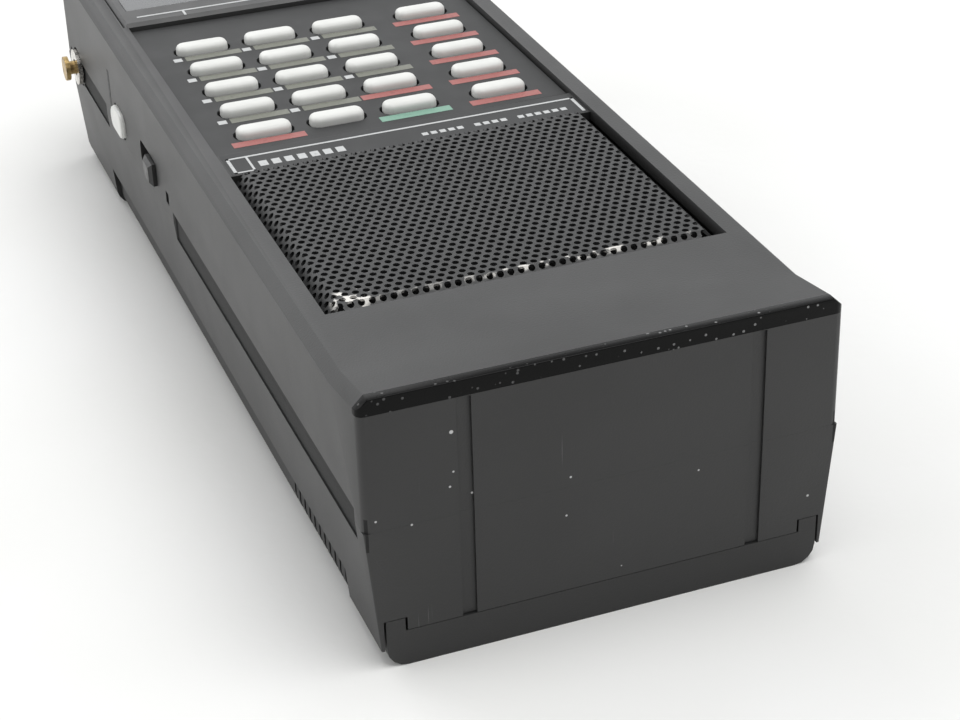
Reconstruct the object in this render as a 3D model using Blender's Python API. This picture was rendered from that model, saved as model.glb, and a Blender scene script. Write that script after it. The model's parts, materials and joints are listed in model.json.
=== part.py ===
"""Handheld multi-band scanning receiver, lying on its back.

+X is the receiver's right, +Y points to its antenna end, +Z comes out of its front face.
The origin is under the middle of the body, on the plane that its back rests on.
Lengths along the body are counted from its bottom end, and the empty "receiver" moves them
back by half the body's length.
"""

import math

import bmesh
import bpy
from mathutils import Euler, Matrix, Vector

MM = 0.001

# Gap between pieces that touch, and the running gap round a piece that slides or turns.
GAP = 0.3 * MM
RUN = 0.3 * MM

# Points nearer than this are one point.
MERGE = 0.001 * MM

# Body: the two shells meet at the parting line.
BODY_WIDTH = 66.0 * MM
REAR_DEPTH = 21.5 * MM
FRONT_DEPTH = 17.5 * MM
REAR_TAPER = 1.8 * MM
END_LEAN = 0.3 * MM
WALL = 2.0 * MM
EDGE_CHAMFER = 1.5 * MM
CORNER_RADIUS = 1.2 * MM
BACK_EDGE_RADIUS = 2.9 * MM

# What follows along the front face, from the bottom end to the antenna end.
GRILLE_MARGIN = 25.3 * MM
GRILLE_LENGTH = 46.7 * MM
LABEL_LENGTH = 8.0 * MM
KEYPAD_LENGTH = 55.8 * MM
DISPLAY_LENGTH = 30.2 * MM
HEAD_LENGTH = 8.0 * MM

# Front face.
LIP_LENGTH = 11.0 * MM
LIP_RISE = 1.6 * MM
RAIL_WIDTH = 4.2 * MM
DISPLAY_RAIL_WIDTH = 3.4 * MM
KEYPAD_RECESS = 1.0 * MM
LABEL_RECESS = 0.6 * MM
PANEL_THICKNESS = 1.5 * MM
PANEL_FLANGE = 1.3 * MM

# Keys.
KEY_COLUMNS = [-19.3 * MM, -7.6 * MM, 4.3 * MM, 19.2 * MM]
KEY_ROWS = 5
KEY_ROW_PITCH = 9.19 * MM
KEY_FIRST_ROW = 6.5 * MM
KEY_LENGTH = 8.6 * MM
KEY_WIDTH = 3.3 * MM
KEY_PROUD = 1.3 * MM
KEY_CORNER_RADIUS = 1.4 * MM
KEY_EDGE = 0.85 * MM
KEY_TRAVEL = 1.0 * MM
KEY_CLEARANCE = 0.5 * MM
KEY_FLANGE = 0.7 * MM
KEY_FLANGE_THICKNESS = 1.0 * MM
KEY_MAT_THICKNESS = 1.0 * MM
MAT_DOME = 0.3 * MM
BOARD_THICKNESS = 1.6 * MM

# Display.
BEZEL_PROUD = 0.3 * MM
WINDOW_MARGIN_NEAR = 7.0 * MM
WINDOW_MARGIN_FAR = 4.4 * MM
WINDOW_MARGIN_SIDE = 2.3 * MM
WINDOW_THICKNESS = 1.2 * MM
WINDOW_SUNK = 0.4 * MM
WINDOW_LEDGE = 2.2 * MM
WINDOW_LEDGE_SIDE = 4.2 * MM
LCD_THICKNESS = 1.8 * MM

# Grille and loudspeaker.
GRILLE_SHEET = 0.8 * MM
GRILLE_SLOPE = 2.2 * MM
GRILLE_DROP = 2.0 * MM
CLOTH_THICKNESS = 0.6 * MM
SPEAKER_RADIUS = 22.5 * MM
SPEAKER_FLANGE = 2.5 * MM
SPEAKER_FRAME_THICKNESS = 1.0 * MM
SPEAKER_DEPTH = 7.5 * MM
MAGNET_RADIUS = 10.5 * MM
MAGNET_DEPTH = 5.0 * MM
CONE_THICKNESS = 0.8 * MM
DUST_CAP_RISE = 1.1 * MM

# Battery bay and cover.
CELL_RADIUS = 7.1 * MM
CELL_LENGTH = 50.2 * MM
CELL_NUB_RADIUS = 2.7 * MM
CELL_NUB_LENGTH = 1.0 * MM
CONTACT_SPACE = 3.6 * MM
CONTACT_THICKNESS = 0.5 * MM
CONTACT_REACH_SHARE = 0.8
SPRING_WIRE = 0.35 * MM
SPRING_TURNS = 3
SPRING_WIDE_SHARE = 0.62
SPRING_NARROW_SHARE = 0.32
BAY_START = 18.0 * MM
BAY_CLEARANCE = 0.5 * MM
COVER_LENGTH = 148.7 * MM
COVER_THICKNESS = 1.8 * MM
COVER_FLANK = 7.2 * MM
COVER_FLANK_WALL = 1.5 * MM
COVER_LIP = 1.1 * MM
COVER_LIP_HEIGHT = 1.3 * MM
COVER_END_HEIGHT = 5.2 * MM
COVER_END_WALL = 2.6 * MM
COVER_SIDE_INSET = 0.5 * MM
POST_LENGTH = 13.5 * MM
GRIP_GROOVES = 12
GRIP_PITCH = 2.3 * MM
GRIP_GROOVE = 0.7 * MM
GRIP_DEPTH = 0.4 * MM

# Left side: grooves, push button, slide switch, strap stud.
GROOVE_LOW = 18.8 * MM
GROOVE_HIGH = 23.5 * MM
GROOVE_DEPTH = 0.5 * MM
GROOVE_START = 3.4 * MM
GROOVE_END = 95.0 * MM
UPPER_GROOVE_START = 141.0 * MM
UPPER_GROOVE_MARGIN = 3.0 * MM
BUTTON_PLACE = (130.4 * MM, 3.1 * MM)
BUTTON_LENGTH = 8.0 * MM
BUTTON_HEIGHT = 4.4 * MM
BUTTON_PROUD = 0.8 * MM
BUTTON_EDGE = 0.55 * MM
BUTTON_TRAVEL = 0.8 * MM
SLOT_PLACE = (109.4 * MM, 4.2 * MM)
SLOT_LENGTH = 11.0 * MM
SLOT_HEIGHT = 4.4 * MM
SLIDE_KNOB_LENGTH = 4.6 * MM
SLIDE_KNOB_PROUD = 1.2 * MM
SLIDE_TRAVEL = 5.6 * MM
RESET_SLOT = (97.4 * MM, 3.2 * MM)
RESET_SLOT_SIZE = (1.8 * MM, 2.0 * MM)
CONTROL_FOOT = 1.0 * MM
STUD_FROM_TOP = 8.6 * MM
STUD_RADIUS = 1.2 * MM
STUD_HEAD_RADIUS = 2.2 * MM
STUD_PROUD = 2.6 * MM
WASHER_RADIUS = 3.3 * MM
WASHER_THICKNESS = 0.8 * MM

# Bottom end: two shallow channels.
CHANNEL_WIDTH = 2.0 * MM
CHANNEL_DEPTH = 0.4 * MM
CHANNEL_PLACES = [-19.3 * MM, 21.0 * MM]

# Antenna end: socket, knobs, jacks.
HEAD_AXIS_DROP = 9.6 * MM
BNC_X = -17.0 * MM
BNC_RADIUS = 4.8 * MM
BNC_LENGTH = 11.0 * MM
BNC_BORE_RADIUS = 3.4 * MM
BNC_LUG_RADIUS = 0.9 * MM
BNC_PIN_RADIUS = 0.7 * MM
BNC_NUT_RADIUS = 6.8 * MM
JACK_SHOULDER = 0.8 * MM
VOLUME_X = 1.2 * MM
SQUELCH_X = 17.2 * MM
KNOB_RADIUS = 6.2 * MM
KNOB_LENGTH = 9.0 * MM
KNOB_FLUTES = 16
SHAFT_RADIUS = 2.0 * MM
SHAFT_LENGTH = 15.0 * MM
BUSHING_RADIUS = 3.4 * MM
POT_SIZE = 9.4 * MM
POT_DEPTH = 5.0 * MM
EARPHONE_X = 9.0 * MM
EARPHONE_HEIGHT = 13.8 * MM
EARPHONE_RADIUS = 2.9 * MM
EARPHONE_BORE_RADIUS = 1.8 * MM
DC_FROM_TOP = 24.0 * MM
DC_AXIS_DROP = 8.6 * MM
DC_RADIUS = 3.7 * MM
DC_BORE_RADIUS = 2.8 * MM
DC_LENGTH = 8.0 * MM
DC_PIN_RADIUS = 0.9 * MM

# Fasteners.
SCREW_RADIUS = 1.2 * MM
SCREW_HEAD_RADIUS = 2.2 * MM
SCREW_HEAD_HEIGHT = 1.8 * MM
SCREW_SEAT = 6.0 * MM
SCREW_REACH = 9.0 * MM
BOSS_WALL = 1.2 * MM
LOW_SCREW_X = 24.0 * MM
LOW_SCREW_Y = 9.5 * MM
HIGH_SCREW_X = 26.0 * MM
HIGH_SCREW_FROM_TOP = 5.6 * MM
SHIELD_HEIGHT = 2.9 * MM

# Places that follow from the sizes above.
HALF_WIDTH = BODY_WIDTH / 2
FRONT = REAR_DEPTH + FRONT_DEPTH
INNER_FRONT = FRONT - WALL
GRILLE_END = GRILLE_MARGIN + GRILLE_LENGTH
KEYPAD_START = GRILLE_END + LABEL_LENGTH
KEYPAD_END = KEYPAD_START + KEYPAD_LENGTH
DISPLAY_END = KEYPAD_END + DISPLAY_LENGTH
BODY_LENGTH = DISPLAY_END + HEAD_LENGTH
OPENING_HALF = HALF_WIDTH - RAIL_WIDTH
BEZEL_HALF = HALF_WIDTH - DISPLAY_RAIL_WIDTH
PANEL_TOP = FRONT - KEYPAD_RECESS
PANEL_UNDER = INNER_FRONT - GAP - PANEL_THICKNESS
KEY_TOP = PANEL_TOP + KEY_PROUD
KEY_FLANGE_TOP = PANEL_UNDER - GAP
KEY_FOOT = KEY_FLANGE_TOP - KEY_FLANGE_THICKNESS
MAT_TOP = KEY_FOOT - KEY_TRAVEL - GAP - MAT_DOME
KEYPAD_BOARD_TOP = MAT_TOP - KEY_MAT_THICKNESS - GAP
MAIN_BOARD_TOP = KEYPAD_BOARD_TOP - BOARD_THICKNESS - SHIELD_HEIGHT - 2 * GAP
COVER_HALF = HALF_WIDTH - REAR_TAPER - COVER_SIDE_INSET
BAY_HALF = 2 * CELL_RADIUS + BAY_CLEARANCE + GAP / 2
BAY_LENGTH = 2 * CELL_LENGTH + GAP + 2 * CONTACT_SPACE
BAY_FLOOR = COVER_THICKNESS + GAP
BAY_CEILING = BAY_FLOOR + 2 * CELL_RADIUS + 2 * BAY_CLEARANCE
CELL_AXIS = BAY_FLOOR + BAY_CLEARANCE + CELL_RADIUS
CHASSIS_FLOOR = BAY_CEILING + WALL
HEAD_AXIS = FRONT - HEAD_AXIS_DROP
CONTROL_SEAT = HALF_WIDTH - WALL - GAP
SWITCH_FACE = CONTROL_SEAT - CONTROL_FOOT - BUTTON_TRAVEL - GAP
SLIDE_REST = SLOT_PLACE[0] - SLIDE_TRAVEL / 2
BOSS_RADIUS = SCREW_RADIUS + GAP + BOSS_WALL
STUD_PLACE = (BODY_LENGTH - STUD_FROM_TOP, REAR_DEPTH)
FAR = 60 * MM


def clear_scene():
    for old in list(bpy.data.objects):
        bpy.data.objects.remove(old, do_unlink=True)


def material(name, colour, roughness, metallic=0.0, alpha=1.0):
    made = bpy.data.materials.new(name)
    made.use_nodes = True
    shader = made.node_tree.nodes["Principled BSDF"]
    shader.inputs["Base Color"].default_value = (*colour, 1.0)
    shader.inputs["Roughness"].default_value = roughness
    shader.inputs["Metallic"].default_value = metallic
    shader.inputs["Alpha"].default_value = alpha
    return made


# Outlines and raw meshes.

def rectangle(low, high):
    return [(low[0], low[1]), (high[0], low[1]), (high[0], high[1]), (low[0], high[1])]


def arc(centre, radius, start, end, steps):
    """Points from start to end, in degrees, round centre."""
    angles = [math.radians(start + (end - start) * k / steps) for k in range(steps + 1)]
    return [(centre[0] + radius * math.cos(a), centre[1] + radius * math.sin(a)) for a in angles]


def rounded_rectangle(length, width, radius, steps=3):
    a = length / 2 - radius
    b = width / 2 - radius
    corners = [((a, b), 0), ((-a, b), 90), ((-a, -b), 180), ((a, -b), 270)]
    return [p for centre, start in corners for p in arc(centre, radius, start, start + 90, steps)]


def prism(outline, axis, low, high):
    """A solid with this outline, standing along axis. Outlines are (y, z), (x, z) or (x, y)."""
    place = {
        "X": lambda p, h: (h, p[0], p[1]),
        "Y": lambda p, h: (p[0], h, p[1]),
        "Z": lambda p, h: (p[0], p[1], h),
    }[axis]
    bm = bmesh.new()
    base = bm.faces.new([bm.verts.new(place(p, low)) for p in outline])
    grown = bmesh.ops.extrude_face_region(bm, geom=[base])["geom"]
    step = Vector(place((0, 0), high)) - Vector(place((0, 0), low))
    moved = [part for part in grown if isinstance(part, bmesh.types.BMVert)]
    bmesh.ops.translate(bm, verts=moved, vec=step)
    bmesh.ops.recalc_face_normals(bm, faces=bm.faces)
    return bm


def box(low, high):
    return prism(rectangle(low[:2], high[:2]), "Z", low[2], high[2])


def spun(points, pairs, steps):
    """What (radius, height) points sweep round Z, joined as the pairs of their numbers say."""
    bm = bmesh.new()
    verts = [bm.verts.new((r, 0, h)) for r, h in points]
    edges = [bm.edges.new((verts[a], verts[b])) for a, b in pairs]
    bmesh.ops.spin(bm, geom=verts + edges, cent=(0, 0, 0), axis=(0, 0, 1),
                   angle=2 * math.pi, steps=steps, use_merge=True)
    bmesh.ops.remove_doubles(bm, verts=bm.verts, dist=MERGE)
    bmesh.ops.recalc_face_normals(bm, faces=bm.faces)
    return bm


def turned(profile, steps=24):
    """A solid of revolution about Z, its profile starting and ending on the axis."""
    return spun(profile, [(k, k + 1) for k in range(len(profile) - 1)], steps)


def hollow_turned(profile, steps=24):
    """A ring about Z, its profile closed and clear of the axis."""
    return spun(profile, [(k - 1, k) for k in range(len(profile))], steps)


def cylinder(radius, low, high, steps=24):
    return turned([(0, low), (radius, low), (radius, high), (0, high)], steps)


def moved(bm, location):
    bmesh.ops.translate(bm, verts=bm.verts, vec=location)
    return bm


def joined(pieces):
    """One bmesh that holds several separate bodies."""
    whole = bmesh.new()
    for piece in pieces:
        mesh = bpy.data.meshes.new("piece")
        piece.to_mesh(mesh)
        whole.from_mesh(mesh)
        bpy.data.meshes.remove(mesh)
        piece.free()
    return whole


def bevel_edges(bm, wanted, width, steps):
    edges = [edge for edge in bm.edges if wanted(*[v.co for v in edge.verts])]
    bmesh.ops.bevel(bm, geom=edges, offset=width, segments=steps, profile=0.5,
                    affect="EDGES", clamp_overlap=True)


# Objects.

AXIS_TURNS = {
    "+Z": (0, 0, 0),
    "+Y": (-math.pi / 2, 0, 0),
    "-Y": (math.pi / 2, 0, 0),
    "+X": (0, math.pi / 2, 0),
    "-X": (0, -math.pi / 2, 0),
}


def node(name, bm, look, location=(0, 0, 0), points="+Z"):
    """A named piece, its local +Z turned to point along the given axis."""
    mesh = bpy.data.meshes.new(name)
    bm.to_mesh(mesh)
    bm.free()
    mesh.shade_smooth()
    mesh.set_sharp_from_angle(angle=math.radians(30))
    mesh.materials.append(look)
    return place_mesh(name, mesh, location, points)


def place_mesh(name, mesh, location, points="+Z"):
    made = bpy.data.objects.new(name, mesh)
    bpy.context.scene.collection.objects.link(made)
    made.parent = bpy.data.objects["receiver"]
    made.location = location
    made.rotation_euler = Euler(AXIS_TURNS[points])
    return made


def tool(name, bm, location=(0, 0, 0), points="+Z"):
    """A cutter or an addition for a Boolean, which isn't a piece."""
    mesh = bpy.data.meshes.new(name)
    bm.to_mesh(mesh)
    bm.free()
    made = place_mesh(name, mesh, location, points)
    made.hide_render = True
    made.display_type = "WIRE"
    return made


def boolean(target, operation, other):
    step = target.modifiers.new(f"{operation.lower()} {other.name}", "BOOLEAN")
    step.operation = operation
    step.solver = "EXACT"
    step.object = other


def cut(target, *cutters):
    for cutter in cutters:
        boolean(target, "DIFFERENCE", cutter)


def add(target, *others):
    for other in others:
        boolean(target, "UNION", other)


# Places that several pieces share.

def half_width_at(height):
    """Half the body's width at a height on the rear shell, which narrows to the back."""
    return HALF_WIDTH - REAR_TAPER * (1 - height / REAR_DEPTH)


def end_at(height):
    """Where the bottom end face lies at a height on the rear shell."""
    return END_LEAN * (1 - height / REAR_DEPTH)


def key_places():
    """(name, x, y) of each key, the first row being the one next to the display."""
    for row in range(KEY_ROWS):
        y = KEYPAD_START + KEY_FIRST_ROW + (KEY_ROWS - 1 - row) * KEY_ROW_PITCH
        for column, x in enumerate(KEY_COLUMNS):
            yield f"key_row{row + 1}_col{column + 1}", x, y


def case_screw_places():
    """(x, y, height of the face that the screw's head pocket opens in)."""
    high_y = BODY_LENGTH - HIGH_SCREW_FROM_TOP
    return [
        (-LOW_SCREW_X, LOW_SCREW_Y, BAY_FLOOR),
        (LOW_SCREW_X, LOW_SCREW_Y, BAY_FLOOR),
        (-HIGH_SCREW_X, high_y, 0.0),
        (HIGH_SCREW_X, high_y, 0.0),
    ]


def groove_cutter(side):
    """Side grooves along the parting line, tapered where they end."""
    inner = HALF_WIDTH - GROOVE_DEPTH
    spans = [
        (GROOVE_START, GROOVE_END),
        (UPPER_GROOVE_START, BODY_LENGTH - UPPER_GROOVE_MARGIN),
    ]
    pieces = []
    for start, end in spans:
        outline = [
            (side * inner, start), (side * FAR, start),
            (side * FAR, end + FAR - inner), (side * inner, end - 2 * GROOVE_DEPTH),
        ]
        if end > UPPER_GROOVE_START:
            outline = [
                (side * inner, start + 2 * GROOVE_DEPTH), (side * FAR, start - FAR + inner),
                (side * FAR, end), (side * inner, end),
            ]
        pieces.append(prism(outline, "Z", GROOVE_LOW, GROOVE_HIGH))
    return joined(pieces)


def stud_cutter():
    """The strap stud's hole, with a round seat for its washer as deep as the side groove."""
    hole = STUD_RADIUS + GAP
    seat = WASHER_RADIUS + GAP
    return turned([(0, -2 * WALL), (hole, -2 * WALL), (hole, -GROOVE_DEPTH),
                   (seat, -GROOVE_DEPTH), (seat, WALL), (0, WALL)], 24)


def channel_cutter():
    """The two shallow channels down the bottom end, as deep where the face leans as above it."""
    top = FRONT - EDGE_CHAMFER / 2
    low = COVER_END_HEIGHT
    outline = [
        (-FAR, low), (end_at(low) + CHANNEL_DEPTH, low),
        (CHANNEL_DEPTH, REAR_DEPTH), (CHANNEL_DEPTH, top), (-FAR, top),
    ]
    half = CHANNEL_WIDTH / 2
    return joined([prism(outline, "X", x - half, x + half) for x in CHANNEL_PLACES])


def head_hole_cutter():
    """Holes in the antenna end's wall for the socket and the two bushings."""
    y = BODY_LENGTH - 2 * WALL
    holes = [(BNC_X, BNC_RADIUS), (VOLUME_X, BUSHING_RADIUS), (SQUELCH_X, BUSHING_RADIUS)]
    pieces = []
    for x, radius in holes:
        hole = cylinder(radius + GAP, 0, 4 * WALL)
        bmesh.ops.rotate(hole, verts=hole.verts, cent=(0, 0, 0),
                         matrix=Matrix.Rotation(-math.pi / 2, 3, "X"))
        pieces.append(moved(hole, (x, y, HEAD_AXIS)))
    return joined(pieces)


# Shells.

def front_case(look):
    low = REAR_DEPTH + GAP / 2
    side = [
        (0, low), (BODY_LENGTH, low), (BODY_LENGTH, FRONT), (LIP_LENGTH, FRONT),
        (CORNER_RADIUS, FRONT + LIP_RISE), (0, FRONT + LIP_RISE),
    ]
    bm = prism(side, "X", -HALF_WIDTH, HALF_WIDTH)
    bevel_edges(bm, lambda a, b: min(a.z, b.z) > INNER_FRONT and abs(a.x - b.x) < GAP,
                EDGE_CHAMFER, 1)
    bevel_edges(bm, lambda a, b: abs(a.z - b.z) > 2 * WALL and abs(a.y - b.y) < GAP,
                CORNER_RADIUS, 3)
    bevel_edges(bm, lambda a, b: min(a.z, b.z) > FRONT + LIP_RISE / 2 and max(a.y, b.y) < GAP,
                CORNER_RADIUS, 3)
    case = node("front_case", bm, look)

    inside = HALF_WIDTH - WALL
    cavity = box((-inside, WALL, 0), (inside, BODY_LENGTH - WALL, INNER_FRONT))
    cut(case, tool("front_cavity", cavity))

    bosses = []
    for x, y, _ in case_screw_places():
        bosses.append(cylinder(BOSS_RADIUS, low, INNER_FRONT + WALL / 2, 16))
        moved(bosses[-1], (x, y, 0))
    add(case, tool("front_bosses", joined(bosses)))

    windows = [
        box((-OPENING_HALF, GRILLE_MARGIN, REAR_DEPTH), (OPENING_HALF, GRILLE_END, FAR)),
        box((-OPENING_HALF, KEYPAD_START, REAR_DEPTH), (OPENING_HALF, KEYPAD_END + GAP, FAR)),
        box((-BEZEL_HALF, KEYPAD_END, REAR_DEPTH), (BEZEL_HALF, DISPLAY_END, FAR)),
    ]
    for number, window in enumerate(windows):
        cut(case, tool(f"front_window_{number + 1}", window))
    step = box((-OPENING_HALF, GRILLE_END - GAP, FRONT - LABEL_RECESS),
               (OPENING_HALF, KEYPAD_START + GAP, FAR))
    cut(case, tool("label_step", step))
    for side_sign, name in ((-1, "left"), (1, "right")):
        cut(case, tool(f"front_groove_{name}", groove_cutter(side_sign)))
    cut(case, tool("front_channels", channel_cutter()))
    cut(case, tool("front_head_holes", head_hole_cutter()))
    cut(case, *left_side_cutters())
    dc_hole = tool("dc_hole", cylinder(DC_RADIUS + GAP, -2 * WALL, 2 * WALL),
                   (HALF_WIDTH, BODY_LENGTH - DC_FROM_TOP, FRONT - DC_AXIS_DROP), "+X")
    stud_hole = tool("front_stud_hole", stud_cutter(), (-HALF_WIDTH, *STUD_PLACE), "-X")
    cut(case, dc_hole, stud_hole)

    bores = []
    for x, y, _ in case_screw_places():
        bores.append(cylinder(SCREW_RADIUS + GAP, 0, low + SCREW_REACH + GAP, 12))
        moved(bores[-1], (x, y, 0))
    cut(case, tool("front_bores", joined(bores)))
    return case


def left_side_cutters():
    """Openings in the left wall for the push button, the slide switch and the reset slot."""
    button = rounded_rectangle(BUTTON_LENGTH + 2 * RUN, BUTTON_HEIGHT + 2 * RUN,
                               BUTTON_HEIGHT / 2, 5)
    slot = rounded_rectangle(SLOT_LENGTH, SLOT_HEIGHT, SLOT_HEIGHT / 4, 2)
    reset = rectangle((-RESET_SLOT_SIZE[0] / 2, -RESET_SLOT_SIZE[1] / 2),
                      (RESET_SLOT_SIZE[0] / 2, RESET_SLOT_SIZE[1] / 2))
    cutters = []
    for name, outline, (y, z) in (("button_hole", button, BUTTON_PLACE),
                                  ("switch_slot", slot, SLOT_PLACE),
                                  ("reset_slot", reset, RESET_SLOT)):
        place = (0, y, REAR_DEPTH + z)
        bm = prism(outline, "X", -FAR, -HALF_WIDTH + 2 * WALL)
        cutters.append(tool(name, bm, place))
    return cutters


def rear_case(look):
    top = REAR_DEPTH - GAP / 2
    bm = box((-HALF_WIDTH, 0, 0), (HALF_WIDTH, BODY_LENGTH, top))
    for vert in bm.verts:
        height = vert.co.z
        vert.co.x = math.copysign(half_width_at(height), vert.co.x)
        vert.co.y += math.copysign(end_at(height), BODY_LENGTH / 2 - vert.co.y)
    bevel_edges(bm, lambda a, b: max(a.z, b.z) < GAP and abs(a.y - b.y) > BODY_LENGTH / 2,
                BACK_EDGE_RADIUS, 4)
    bevel_edges(bm, lambda a, b: abs(a.z - b.z) > 2 * WALL and abs(a.y - b.y) < WALL,
                CORNER_RADIUS, 3)
    case = node("rear_case", bm, look)

    cut(case, *cover_seat_cutters())

    bay = box((-BAY_HALF, BAY_START, -FAR), (BAY_HALF, BAY_START + BAY_LENGTH, BAY_CEILING))
    cut(case, tool("bay", bay))
    cut(case, *chassis_cutters())

    high = [place for place in case_screw_places() if place[2] == 0.0]
    bosses = []
    for x, y, _ in high:
        bosses.append(cylinder(SCREW_HEAD_RADIUS + GAP + BOSS_WALL, WALL / 2, top, 16))
        moved(bosses[-1], (x, y, 0))
    add(case, tool("rear_bosses", joined(bosses)))
    for side_sign, name in ((-1, "left"), (1, "right")):
        cut(case, tool(f"rear_groove_{name}", groove_cutter(side_sign)))
    cut(case, tool("rear_channels", channel_cutter()))
    stud_hole = tool("rear_stud_hole", stud_cutter(), (-HALF_WIDTH, *STUD_PLACE), "-X")
    earphone_hole = tool("earphone_hole", cylinder(EARPHONE_RADIUS + GAP, -3 * WALL, 2 * WALL),
                         (EARPHONE_X, BODY_LENGTH, EARPHONE_HEIGHT), "+Y")
    cut(case, stud_hole, earphone_hole)

    pockets = []
    for x, y, face in case_screw_places():
        seat = face + SCREW_SEAT
        head = SCREW_HEAD_RADIUS + GAP
        shank = SCREW_RADIUS + GAP
        pockets.append(turned([(0, -WALL), (head, -WALL), (head, seat), (shank, seat),
                               (shank, REAR_DEPTH + WALL), (0, REAR_DEPTH + WALL)], 16))
        moved(pockets[-1], (x, y, 0))
    cut(case, tool("rear_screw_pockets", joined(pockets)))
    return case


def cover_seat_cutters():
    """The room that the battery cover takes: its tray, its two rails and its end wall."""
    seat = COVER_FLANK + GAP
    tray_inner = COVER_HALF - COVER_FLANK_WALL - GAP
    rail_inner = tray_inner - COVER_LIP
    rail_low = COVER_FLANK - COVER_LIP_HEIGHT - GAP
    post_inner = COVER_HALF + RUN
    post_low = BACK_EDGE_RADIUS

    def outline(outer_points):
        right = outer_points + [(rail_inner, seat), (rail_inner, rail_low),
                                (tray_inner, rail_low), (tray_inner, BAY_FLOOR)]
        return right + [(-x, z) for x, z in reversed(right)]

    wide = outline([(FAR, -FAR), (FAR, seat)])
    between = outline([(FAR, -FAR), (FAR, post_low), (post_inner, post_low),
                       (post_inner, seat)])
    tray_end = end_at(0) + COVER_LENGTH + GAP
    end_wall = [(post_inner, -FAR), (post_inner, seat), (rail_inner, seat),
                (rail_inner, COVER_END_HEIGHT + GAP)]
    end_wall += [(-x, z) for x, z in reversed(end_wall)]
    return [
        tool("cover_seat", prism(wide, "Y", POST_LENGTH, tray_end)),
        tool("cover_seat_between_posts", prism(between, "Y", -WALL, POST_LENGTH + GAP)),
        tool("cover_end_seat", prism(end_wall, "Y", -WALL, end_at(0) + COVER_END_WALL + GAP)),
    ]


def chassis_cutters():
    """The hollows of the rear shell, open towards the front shell."""
    top = REAR_DEPTH + WALL
    floor_half = half_width_at(CHASSIS_FLOOR) - WALL
    rim_half = HALF_WIDTH - WALL
    chassis = [(floor_half, CHASSIS_FLOOR), (rim_half, REAR_DEPTH), (rim_half, top)]
    chassis += [(-x, z) for x, z in reversed(chassis)]
    side_floor = COVER_FLANK + GAP + WALL
    side_outer = half_width_at(side_floor) - WALL
    side_inner = BAY_HALF + WALL
    bay_end = BAY_START + BAY_LENGTH
    cuts = {
        "chassis": prism(chassis, "Y", 2 * WALL, BODY_LENGTH - 1.5 * WALL),
        "left_hollow": box((-side_outer, BAY_START, side_floor), (-side_inner, bay_end, top)),
        "right_hollow": box((side_inner, BAY_START, side_floor), (side_outer, bay_end, top)),
        "near_hollow": box((-LOW_SCREW_X + 3 * WALL, 2 * WALL, side_floor),
                           (LOW_SCREW_X - 3 * WALL, BAY_START - WALL, top)),
        "head_hollow": box((-side_outer, bay_end + WALL, side_floor),
                           (side_outer, BODY_LENGTH - 2 * WALL, top)),
    }
    return [tool(name, bm) for name, bm in cuts.items()]


def battery_cover(look):
    half = COVER_HALF
    inner = half - COVER_FLANK_WALL
    lip = inner - COVER_LIP
    lip_low = COVER_FLANK - COVER_LIP_HEIGHT
    radius = BACK_EDGE_RADIUS
    outer = [(half, COVER_FLANK)] + arc((half - radius, radius), radius, 0, -90, 4)
    outer += [(-x, z) for x, z in reversed(outer)]
    tray = outer + [(-lip, COVER_FLANK), (-lip, lip_low), (-inner, lip_low),
                    (-inner, COVER_THICKNESS), (inner, COVER_THICKNESS), (inner, lip_low),
                    (lip, lip_low), (lip, COVER_FLANK)]
    start = end_at(0)
    wall_end = start + COVER_END_WALL
    cover = node("battery_cover",
                 prism(tray, "Y", wall_end + 2 * GAP, start + COVER_LENGTH), look)
    end = outer + [(-lip, COVER_FLANK), (-lip, COVER_END_HEIGHT), (lip, COVER_END_HEIGHT),
                   (lip, COVER_FLANK)]
    add(cover, tool("cover_end_wall", prism(end, "Y", 0, wall_end)))
    floor = box((-inner, wall_end - GAP, 0), (inner, wall_end + 3 * GAP, COVER_THICKNESS))
    add(cover, tool("cover_end_floor", floor))
    lean = [(-FAR, -WALL), (end_at(-WALL), -WALL), (end_at(REAR_DEPTH), REAR_DEPTH),
            (-FAR, REAR_DEPTH)]
    cut(cover, tool("cover_lean", prism(lean, "X", -FAR, FAR)))
    grips = []
    for side in (-1, 1):
        edges = sorted((side * FAR, side * (half - GRIP_DEPTH)))
        for groove in range(GRIP_GROOVES):
            y = POST_LENGTH + (groove + 0.5) * GRIP_PITCH
            grips.append(box((edges[0], y, -WALL), (edges[1], y + GRIP_GROOVE, FAR)))
    cut(cover, tool("cover_grips", joined(grips)))
    return cover


# Keypad and display.

def keypad_panel(look):
    field = OPENING_HALF - GAP
    flange = OPENING_HALF + PANEL_FLANGE
    bm = box((-flange, KEYPAD_START - PANEL_FLANGE, PANEL_UNDER),
             (flange, KEYPAD_END, INNER_FRONT - GAP))
    panel = node("keypad_panel", bm, look)
    raised = box((-field, KEYPAD_START + GAP, INNER_FRONT - GAP - PANEL_THICKNESS / 2),
                 (field, KEYPAD_END, PANEL_TOP))
    add(panel, tool("panel_field", raised))
    holes = []
    outline = rounded_rectangle(KEY_LENGTH + 2 * KEY_CLEARANCE, KEY_WIDTH + 2 * KEY_CLEARANCE,
                                KEY_CORNER_RADIUS + KEY_CLEARANCE, 3)
    for _, x, y in key_places():
        holes.append(moved(prism(outline, "Z", 0, FAR), (x, y, 0)))
    cut(panel, tool("key_holes", joined(holes)))
    return panel


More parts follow.
